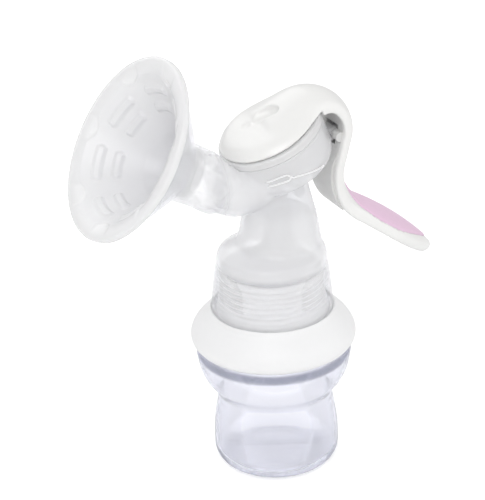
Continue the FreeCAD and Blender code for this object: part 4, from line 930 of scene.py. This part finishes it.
def handle_line(x, z):
    """Where a place in the middle plane lies on the handle: the distance along its back from where the
    paddle begins, negative up towards the cap, and the depth below its crown line. The line runs straight
    from the cap, round the bend over the hinge, down the spine, back round the heel and along the paddle."""
    bend_x, bend_z = x - BEND_MIDDLE[0], z - BEND_MIDDLE[1]
    fall = reach_along(DOWNWARD, bend_x, bend_z)
    out = reach_along(OUTWARD, bend_x, bend_z)
    ahead = reach_along(PADDLE_AHEAD, x - PADDLE_START[0], z - PADDLE_START[1])

    turn = np.arctan2(bend_z, bend_x)
    turn = np.where(turn < -2.2, turn + 2 * math.pi, turn)
    depth = BEND_RADIUS - np.hypot(bend_x, bend_z)
    place = SPINE_START - BEND_RADIUS * (turn - BEND_END)

    run = reach_along(RUN_AHEAD, bend_x, bend_z)
    depth = np.where(run > 0, BEND_RADIUS - reach_along(RUN_OUTWARD, bend_x, bend_z), depth)
    place = np.where(run > 0, SPINE_START - BEND_RADIUS * (RUN_ANGLE - BEND_END) - run, place)

    spine = (fall > 0) & (out > 0)
    depth = np.where(spine, BEND_RADIUS - out, depth)
    place = np.where(spine, fall - SPINE_LENGTH - HEEL_LENGTH, place)

    heel_x, heel_z = x - HEEL_MIDDLE[0], z - HEEL_MIDDLE[1]
    heel = spine & (fall > SPINE_LENGTH) & (ahead <= 0)
    sweep = np.arctan2(reach_along(DOWNWARD, heel_x, heel_z), -reach_along(OUTWARD, heel_x, heel_z))
    depth = np.where(heel, np.hypot(heel_x, heel_z) - HEEL_RADIUS, depth)
    place = np.where(heel, HEEL_RADIUS * sweep - HEEL_LENGTH, place)

    bow_x, bow_z = x - BOW_MIDDLE[0], z - BOW_MIDDLE[1]
    paddle = spine & (ahead > 0) & (fall > SPINE_LENGTH)
    bow = np.arctan2(reach_along(PADDLE_AHEAD, bow_x, bow_z), reach_along(PADDLE_NORMAL, bow_x, bow_z))
    depth = np.where(paddle, BOW_RADIUS - np.hypot(bow_x, bow_z), depth)
    place = np.where(paddle, BOW_RADIUS * bow, place)
    return place, depth


def handle_point(place, depth):
    """The inverse on the heel and the paddle: x and z of a place along the handle at a depth, on the bow's
    circle past the start of the paddle and on the heel's circle before it."""
    place, depth = np.broadcast_arrays(place, depth)
    normal, ahead = PADDLE_NORMAL[:, None, None], PADDLE_AHEAD[:, None, None]
    angle = place / BOW_RADIUS
    radius = BOW_RADIUS - depth
    paddle = BOW_MIDDLE[:, None, None] + normal * (radius * np.cos(angle)) + ahead * (radius * np.sin(angle))
    turn = -place / HEEL_RADIUS
    reach = HEEL_RADIUS + depth
    heel = HEEL_MIDDLE[:, None, None] - (normal * (reach * np.cos(turn)) + ahead * (reach * np.sin(turn)))
    return np.where(place > 0, paddle, heel)


STRAP_PLACES = (-102, -92, -80, -66, -40, -20, -3, 4, 11, 20)
STRAP_HALVES = (19, 16.5, 13.8, 12.8, 12.6, 12.8, 13.3, 14.2, 15.5, 15.9)
RIM_PLACES = (-100, -60, -36, -18, -4, 12, 24, 38, 46, 52)
RIM_DEPTHS = (8.4, 7.9, 7.8, 8.0, 8.8, 9.8, 10.0, 8.9, 7.4, 5.6)
HIP = STRAP_PLACES[-1]
PADDLE_HALF = STRAP_HALVES[-1]
PADDLE_LENGTH = 51.5
TIP_RADIUS = 10.5
TIP_MIDDLE = PADDLE_LENGTH - TIP_RADIUS
PAD_PLACES = (-15, -13, -9.5, -4, 0, 7, 16.5, 25, 33, 39, 43, 45.4, 46.4)
PAD_HALVES = (0, 3.6, 6.2, 9.2, 10.7, 12.4, 13.1, 12.4, 10.2, 7.5, 5.0, 2.6, 0)
PAD_MIDDLE = 14.0


def handle_plan(place, y):
    """Distance outside the handle's plan, seen square to its back: a strap that widens to the paddle's hip,
    from where a wide arc on either side runs in to touch a round tip."""
    side = np.abs(y)
    near = side - smooth_value(place, STRAP_PLACES, STRAP_HALVES)
    run = TIP_MIDDLE - HIP
    flank = (run * run + (PADDLE_HALF**2 - TIP_RADIUS**2)) / (2 * (PADDLE_HALF - TIP_RADIUS))
    sides = np.hypot(place - HIP, side + flank - PADDLE_HALF) - flank
    tip = np.hypot(place - TIP_MIDDLE, side) - TIP_RADIUS
    lean = np.arctan2(side, place - TIP_MIDDLE)
    far = np.where(lean < math.atan2(flank - PADDLE_HALF, run), tip, sides)
    return np.where(place < HIP, near, far)


def pad_plan(place, y, inset):
    """How far outside the grip pad's egg-shaped plan a place on the handle's back lies."""
    half = smooth_value(place, PAD_PLACES, PAD_HALVES)
    ends = np.maximum(PAD_PLACES[0] - place, place - PAD_PLACES[-1])
    return np.maximum((np.abs(y) - half) * 0.85, ends) + inset


CAP_RADIUS = 24.3
DOME_RADIUS = 120.9
DOME_DROP = 116.0
DOME_WALL = 2.1
BORE_RADIUS = 22.0
STRAP_WALL = 2.0
HEEL_WALL = 3.1
CHANNEL_HALF = 9.4
CHANNEL_END = 6.0
RAIL_HALF = 5.0
SLOT_HALF = 3.0
ROD_HALF = 2.3
STRAP_START = -97.0
CHANNEL_START = -88.0
HOLLOW_FLOOR = 9.0
CAP_ROOM_RADIUS = 25.4
SEAT_GAP = 0.12
DIMPLE_RADIUS = 3.6
OVAL_RADIUS = 4.35
OVAL_ENDS = (-3.2, 3.0)
OVAL_SLANT = 0.35


def handle_field(x, y, z):
    """The white shell: a domed cap that flows into the strap, channelled underneath, and the paddle."""
    place, depth = handle_line(x, z)
    crown = np.hypot(y, np.maximum(BEND_RADIUS - depth, 0.0)) - BEND_RADIUS
    crown = np.where(depth > BEND_RADIUS, np.abs(y) - BEND_RADIUS, crown)
    under = depth - smooth_value(place, RIM_PLACES, RIM_DEPTHS)
    strap = overlap(crown, handle_plan(place, y), 2.6)
    strap = overlap(strap, under, 1.3 + 2.2 * held(place / 30))
    strap = overlap(strap, STRAP_START - place, 3.0)

    # cap: a flat dome, strongly rounded at its side and cut off level with the cup's rim
    away, along, across = seen_from(CAP_AXIS, x, y, z)
    cup_away, cup_along, cup_across = seen_from(CUP_AXIS, x, y, z)
    top = np.sqrt(away**2 + (along + DOME_DROP) ** 2) - DOME_RADIUS
    cap = overlap(overlap(away - CAP_RADIUS, top, 9.0), -0.2 - cup_along, 0.4)
    shell = union(cap, strap, 7.0)

    # room round the cap's edge and the cup below it
    shell = carved(shell, overlap(cup_away - CAP_ROOM_RADIUS, band(cup_along, -14.0, 0.0, 0.3), 0.3), 0.6)

    # hollow under the dome, and the channel along the strap with a thicker wall at the heel
    hollow = overlap(overlap(away - BORE_RADIUS, top + DOME_WALL, 5.0), -HOLLOW_FLOOR - along, 0.5)
    shell = carved(shell, hollow, 0.6)
    wall = STRAP_WALL + (HEEL_WALL - STRAP_WALL) * held((place + 24) / 6)
    channel = overlap(crown + wall, np.abs(y) - CHANNEL_HALF, 1.6)
    channel = overlap(channel, place - CHANNEL_END, 1.5)
    channel = overlap(channel, overlap(CHANNEL_START - place, under - 3.0, 0.5), 1.5)
    shell = carved(shell, channel, 0.6)

    # rails under the cap, and the slot in them that holds the rod's ball
    ends = np.maximum(-12.0 - cup_across, cup_across - 4.6)
    rails = overlap(overlap(np.abs(y) - RAIL_HALF, ends, 0.6), cup_along - 4.2, 0.3)
    rails = overlap(rails, -4.8 - cup_along, 0.5)
    shell = union(shell, overlap(rails, cap - 1.0, 0.2), 0.4)
    slot = overlap(np.abs(y) - SLOT_HALF, np.abs(cup_along + BALL_DROP) - SLOT_HALF, 1.0)
    gap = overlap(np.abs(y) - ROD_HALF, cup_along + 1.0, 0.2)
    slot = overlap(np.minimum(slot, gap), np.maximum(cup_across - 3.3, -14.0 - cup_across), 0.5)
    shell = carved(shell, slot, 0.3)

    # seat of the grip pad, and a small dimple with an oval beside it on the cap's top
    shell = carved(shell, overlap(pad_plan(place, y, SEAT_GAP), -1.0 - crown, 0.3), 0.25)
    dimple = np.sqrt((across + 7.6) ** 2 + (y - 5.0) ** 2 + (along - 7.4) ** 2) - DIMPLE_RADIUS
    past_end = across - np.clip(across, *OVAL_ENDS)
    beside = y - 0.6 + across * OVAL_SLANT
    oval = np.sqrt(past_end**2 + beside**2 + (along - 8.8) ** 2) - OVAL_RADIUS
    return carved(shell, np.minimum(dimple, oval), 0.5)


def build_handle(looks):
    """White shell of the handle, as the skin of its field. The inner frame keeps its packed surface under
    a grey finish, given through its object's own material slots."""
    points, faces = skin(handle_field, (-27, -27, 76), (86, 27, 183), looks.handle_cell / MM)
    shape_mesh("HandleShell", points, faces, "handle", "white_shell", ("handle_shell",))
    inner = frame["nodes"]["handle_liner"]
    inner.data.materials.clear()
    inner.data.materials.append(use_finish("frame_grey"))


def build_grip_pad(looks):
    """Soft pad in the paddle's back. Rings of its egg-shaped plan shrink towards the middle on top and
    below, and each is lifted onto the crowned back; the edge is rolled over."""
    angle = full_turn(144)
    reach = np.linspace(0, 60, 1201)
    outside = pad_plan(PAD_MIDDLE + reach[:, None] * np.cos(angle), reach[:, None] * np.sin(angle), 0.0) > 0
    edge = reach[np.argmax(outside, axis=0)]
    edge = (edge + np.roll(edge, 1) + np.roll(edge, -1)) / 3
    proud = looks.pad_rise / MM
    flat = [(share, proud) for share in np.linspace(0, 0.9, 22)]
    roll = [(0.94, 0.97), (0.97, 0.87), (0.985, 0.68), (0.995, 0.4)]
    seat = [(1.0, 0.06), (1.0, -0.8), (0.985, -0.95), (0.6, -0.95), (0.0, -0.95)]
    levels = flat + [(share, proud * height) for share, height in roll] + seat
    share, height = np.array(levels).T[:, :, None]
    place = PAD_MIDDLE + share * edge * np.cos(angle)
    side = share * edge * np.sin(angle)
    depth = BEND_RADIUS - np.sqrt((BEND_RADIUS + height) ** 2 - side**2)
    x, z = handle_point(place, depth)
    points = np.stack([x, side, z], 2)
    faces = grid_faces(len(levels), len(angle), close_rows=False)
    pad = shape_mesh("GripPad", points, faces, "handle", "pink_soft", ("grip_pad",))


# ---------------------------------------------------------------- stage

LAMP_TARGET = Vector((0.0, 0.0, 0.11))
LAMPS = (
    ("KeyLamp", (-0.55, -0.75, 1.05), 0.9, 1.0),
    ("FillLamp", (1.0, -0.55, 0.55), 0.9, 0.35),
    ("BackLamp", (-0.1, 1.0, 0.9), 1.1, 0.6),
)
CAMERA_PLACE = (-0.3638, -0.7194, 0.5002)
CAMERA_RIGHT = (0.8914, -0.4519, -0.0343)
CAMERA_BACK = (-0.3939, -0.8075, 0.4390)


def seen_by_camera(tree):
    """A node that is one for what the camera sees directly or through clear walls, and else zero."""
    path = add_node(tree, "LightPath")
    seen = add_node(tree, "Math", {"operation": "MAXIMUM"})
    wire(tree, (path, "Is Camera Ray", seen, 0), (path, "Is Transmission Ray", seen, 1))
    return seen


def build_surroundings(looks):
    """An even light from all round, behind which the camera sees plain white."""
    world = bpy.data.worlds.new("White")
    bpy.context.scene.world = world
    tree = clean_tree(world)
    output = add_node(tree, "OutputWorld")
    mix = add_node(tree, "MixShader")
    light = add_node(tree, "Background", Color=(1, 1, 1, 1), Strength=looks.world_light)
    white = add_node(tree, "Background", Color=(1, 1, 1, 1), Strength=1.0)
    wire(
        tree,
        (seen_by_camera(tree), "Value", mix, "Fac"),
        (light, "Background", mix, 1),
        (white, "Background", mix, 2),
        (mix, "Shader", output, "Surface"),
    )


def build_floor(looks):
    """A pale floor that gives off a little light, and more as the camera sees it."""
    bpy.ops.mesh.primitive_plane_add(size=6.0, location=(0, 0, -0.0002))
    floor = bpy.context.object
    floor.name = "Floor"
    material = bpy.data.materials.new("PaleFloor")
    tree = clean_tree(material)
    shader = add_node(tree, "BsdfDiffuse", Color=(0.80, 0.80, 0.80, 1))
    glow = add_node(tree, "Emission", Color=(1, 1, 1, 1))
    both = add_node(tree, "AddShader")
    output = add_node(tree, "OutputMaterial")
    level = add_node(tree, "MapRange", To_Min=looks.floor_glow, To_Max=looks.floor_white)
    wire(
        tree,
        (seen_by_camera(tree), "Value", level, "Value"),
        (level, "Result", glow, "Strength"),
        (shader, "BSDF", both, 0),
        (glow, "Emission", both, 1),
        (both, "Shader", output, "Surface"),
    )
    floor.data.materials.append(material)


def build_lamps(looks):
    """Three soft square lamps that face the pump's middle, each with its share of the key lamp's power."""
    for name, place, width, share in LAMPS:
        data = bpy.data.lights.new(name, "AREA")
        data.shape = "SQUARE"
        data.size = width
        data.energy = looks.key_power * share
        lamp = bpy.data.objects.new(name, data)
        lamp.location = place
        lamp.rotation_euler = (LAMP_TARGET - Vector(place)).to_track_quat("-Z", "Y").to_euler()
        bpy.context.scene.collection.objects.link(lamp)


def build_camera():
    """The camera, whose back direction is made square to its right one and whose up is their cross."""
    data = bpy.data.cameras.new("Camera")
    camera = bpy.data.objects.new("Camera", data)
    bpy.context.scene.collection.objects.link(camera)
    data.sensor_width = 36.0
    data.sensor_height = 36.0
    data.sensor_fit = "AUTO"
    data.lens = 143.4
    data.clip_end = 20.0
    right = Vector(CAMERA_RIGHT).normalized()
    back = Vector(CAMERA_BACK)
    back = (back - right * back.dot(right)).normalized()
    turn = Matrix((right, back.cross(right), back)).transposed().to_4x4()
    camera.matrix_world = Matrix.Translation(CAMERA_PLACE) @ turn
    bpy.context.scene.camera = camera
    bpy.context.scene.view_settings.view_transform = "Standard"


# ---------------------------------------------------------------- add-on


def length_property(name, description, default):
    """A property that holds a length in metres."""
    return FloatProperty(
        name=name, description=description, default=default, unit="LENGTH", subtype="DISTANCE", precision=5
    )


def color_property(name, description, default):
    """A property that holds a colour."""
    return FloatVectorProperty(
        name=name, description=description, default=default, subtype="COLOR", min=0.0, max=1.0
    )


class PumpShapes(PropertyGroup):
    """Sizes of the looks, in metres."""

    wall: length_property("Bottle wall", "Thickness of the bottle's wall", 0.0018)
    bead_rise: length_property("Bead", "How far the bottle's bead stands out", 0.0004)
    thread_height: length_property("Thread height", "How far the spigot's thread stands out", 0.0009)
    thread_pitch: length_property("Thread pitch", "Rise of the spigot's thread in one turn", 0.0025)
    cell: length_property("Body cell", "Fineness of the pump body's surface", 0.0009)
    handle_cell: length_property("Handle cell", "Fineness of the handle's surface", 0.0006)
    line_radius: length_property("Cup line", "Radius of the rib on the cup", 0.0004)
    petal_rise: length_property("Petal step", "Height of the petals' edge", 0.0008)
    rib_rise: length_property("Rib height", "Height of the petals' ribs", 0.0013)
    pad_rise: length_property("Pad", "How far the grip pad stands out of the paddle", 0.0006)


class PumpColors(PropertyGroup):
    """Base colours of the finishes."""

    bottle: color_property("Bottle", "Colour of the clear bottle", (0.97, 0.97, 0.99))
    body: color_property("Body", "Colour of the clear pump body", (0.97, 0.97, 0.98))
    shell: color_property("Handle", "Colour of the handle's shell", (0.87, 0.868, 0.855))
    ring: color_property("Ring", "Colour of the adapter ring", (0.90, 0.90, 0.905))
    frame: color_property("Frame", "Colour of the handle's inner frame", (0.74, 0.74, 0.73))
    silicone: color_property("Silicone", "Colour of the soft clear pieces", (0.97, 0.97, 0.975))
    pad: color_property("Pad", "Colour of the grip pad", (0.80, 0.57, 0.73))


class PumpStage(PropertyGroup):
    """Light of the stage."""

    world_light: FloatProperty(
        name="World light", description="Strength of the light from all round", default=0.59
    )
    floor_glow: FloatProperty(name="Floor glow", description="Light that the floor gives off", default=0.22)
    floor_white: FloatProperty(name="Floor white", description="The same as the camera sees it", default=0.5)
    key_power: FloatProperty(
        name="Key power", description="Power of the main lamp in watts", default=6.8, unit="POWER"
    )


def finished(*names):
    """The result of an operator that made these objects. It raises an error if one is missing, because a
    cancelled operator wouldn't stop the script."""
    missing = [name for name in names if name not in bpy.data.objects]
    if missing:
        raise RuntimeError(f"These weren't built: {', '.join(missing)}")
    return {"FINISHED"}


class PUMP_OT_bottle(Operator):
    """Builds the bottle, its seal and the adapter ring"""

    bl_idname = "pump.build_bottle"
    bl_label = "Build Bottle and Ring"
    bl_options = {"REGISTER", "UNDO"}

    def execute(self, context):
        build_bottle(context.scene.pump_shapes)
        build_seal()
        build_ring(context.scene.pump_shapes)
        return finished("Bottle", "BottleSeal", "AdapterRing")


class PUMP_OT_body(Operator):
    """Builds the clear pump body and the rib on its cup"""

    bl_idname = "pump.build_body"
    bl_label = "Build Pump Body"
    bl_options = {"REGISTER", "UNDO"}

    def execute(self, context):
        build_pump_body(context.scene.pump_shapes)
        build_cup_line(context.scene.pump_shapes)
        return finished("PumpBody", "CupLine", "CupHairpin")


class PUMP_OT_soft(Operator):
    """Builds the cushion, the valve, the diaphragm and its rod"""

    bl_idname = "pump.build_soft"
    bl_label = "Build Soft Pieces"
    bl_options = {"REGISTER", "UNDO"}

    def execute(self, context):
        build_cushion(context.scene.pump_shapes)
        build_valve()
        build_diaphragm()
        build_pull_rod()
        return finished("Cushion", "Valve", "Diaphragm", "PullRod")


class PUMP_OT_handle(Operator):
    """Builds the handle's shell and its grip pad"""

    bl_idname = "pump.build_handle"
    bl_label = "Build Handle"
    bl_options = {"REGISTER", "UNDO"}

    def execute(self, context):
        build_handle(context.scene.pump_shapes)
        build_grip_pad(context.scene.pump_shapes)
        return finished("HandleShell", "GripPad")


class PUMP_OT_stage(Operator):
    """Builds the surroundings, the floor, the lamps and the camera"""

    bl_idname = "pump.build_stage"
    bl_label = "Set the Stage"
    bl_options = {"REGISTER", "UNDO"}

    def execute(self, context):
        build_surroundings(context.scene.pump_stage)
        build_floor(context.scene.pump_stage)
        build_lamps(context.scene.pump_stage)
        build_camera()
        return finished("Floor", "KeyLamp", "FillLamp", "BackLamp", "Camera")


class PUMP_PT_sidebar(Panel):
    """Buttons, sizes and colours of the pump in the 3D view's sidebar"""

    bl_idname = "PUMP_PT_sidebar"
    bl_label = "Breast Pump"
    bl_space_type = "VIEW_3D"
    bl_region_type = "UI"
    bl_category = "Pump"

    def draw(self, context):
        scene = context.scene
        for operator in OPERATORS:
            self.layout.operator(operator.bl_idname)
        for group in (scene.pump_shapes, scene.pump_colors, scene.pump_stage):
            for name in group.__annotations__:
                self.layout.prop(group, name)


OPERATORS = (PUMP_OT_bottle, PUMP_OT_body, PUMP_OT_soft, PUMP_OT_handle, PUMP_OT_stage)
CLASSES = (PumpShapes, PumpColors, PumpStage, *OPERATORS, PUMP_PT_sidebar)


def register():
    """Registers the classes and gives every scene the three groups of settings."""
    for item in CLASSES:
        bpy.utils.register_class(item)
    bpy.types.Scene.pump_shapes = PointerProperty(type=PumpShapes)
    bpy.types.Scene.pump_colors = PointerProperty(type=PumpColors)
    bpy.types.Scene.pump_stage = PointerProperty(type=PumpStage)


def unregister():
    """Takes back all that register did, last first."""
    del bpy.types.Scene.pump_stage
    del bpy.types.Scene.pump_colors
    del bpy.types.Scene.pump_shapes
    for item in reversed(CLASSES):
        bpy.utils.unregister_class(item)


def main():
    register()
    bpy.ops.pump.build_bottle()
    bpy.ops.pump.build_body()
    bpy.ops.pump.build_soft()
    bpy.ops.pump.build_handle()
    bpy.ops.pump.build_stage()


if __name__ == "__main__":
    main()
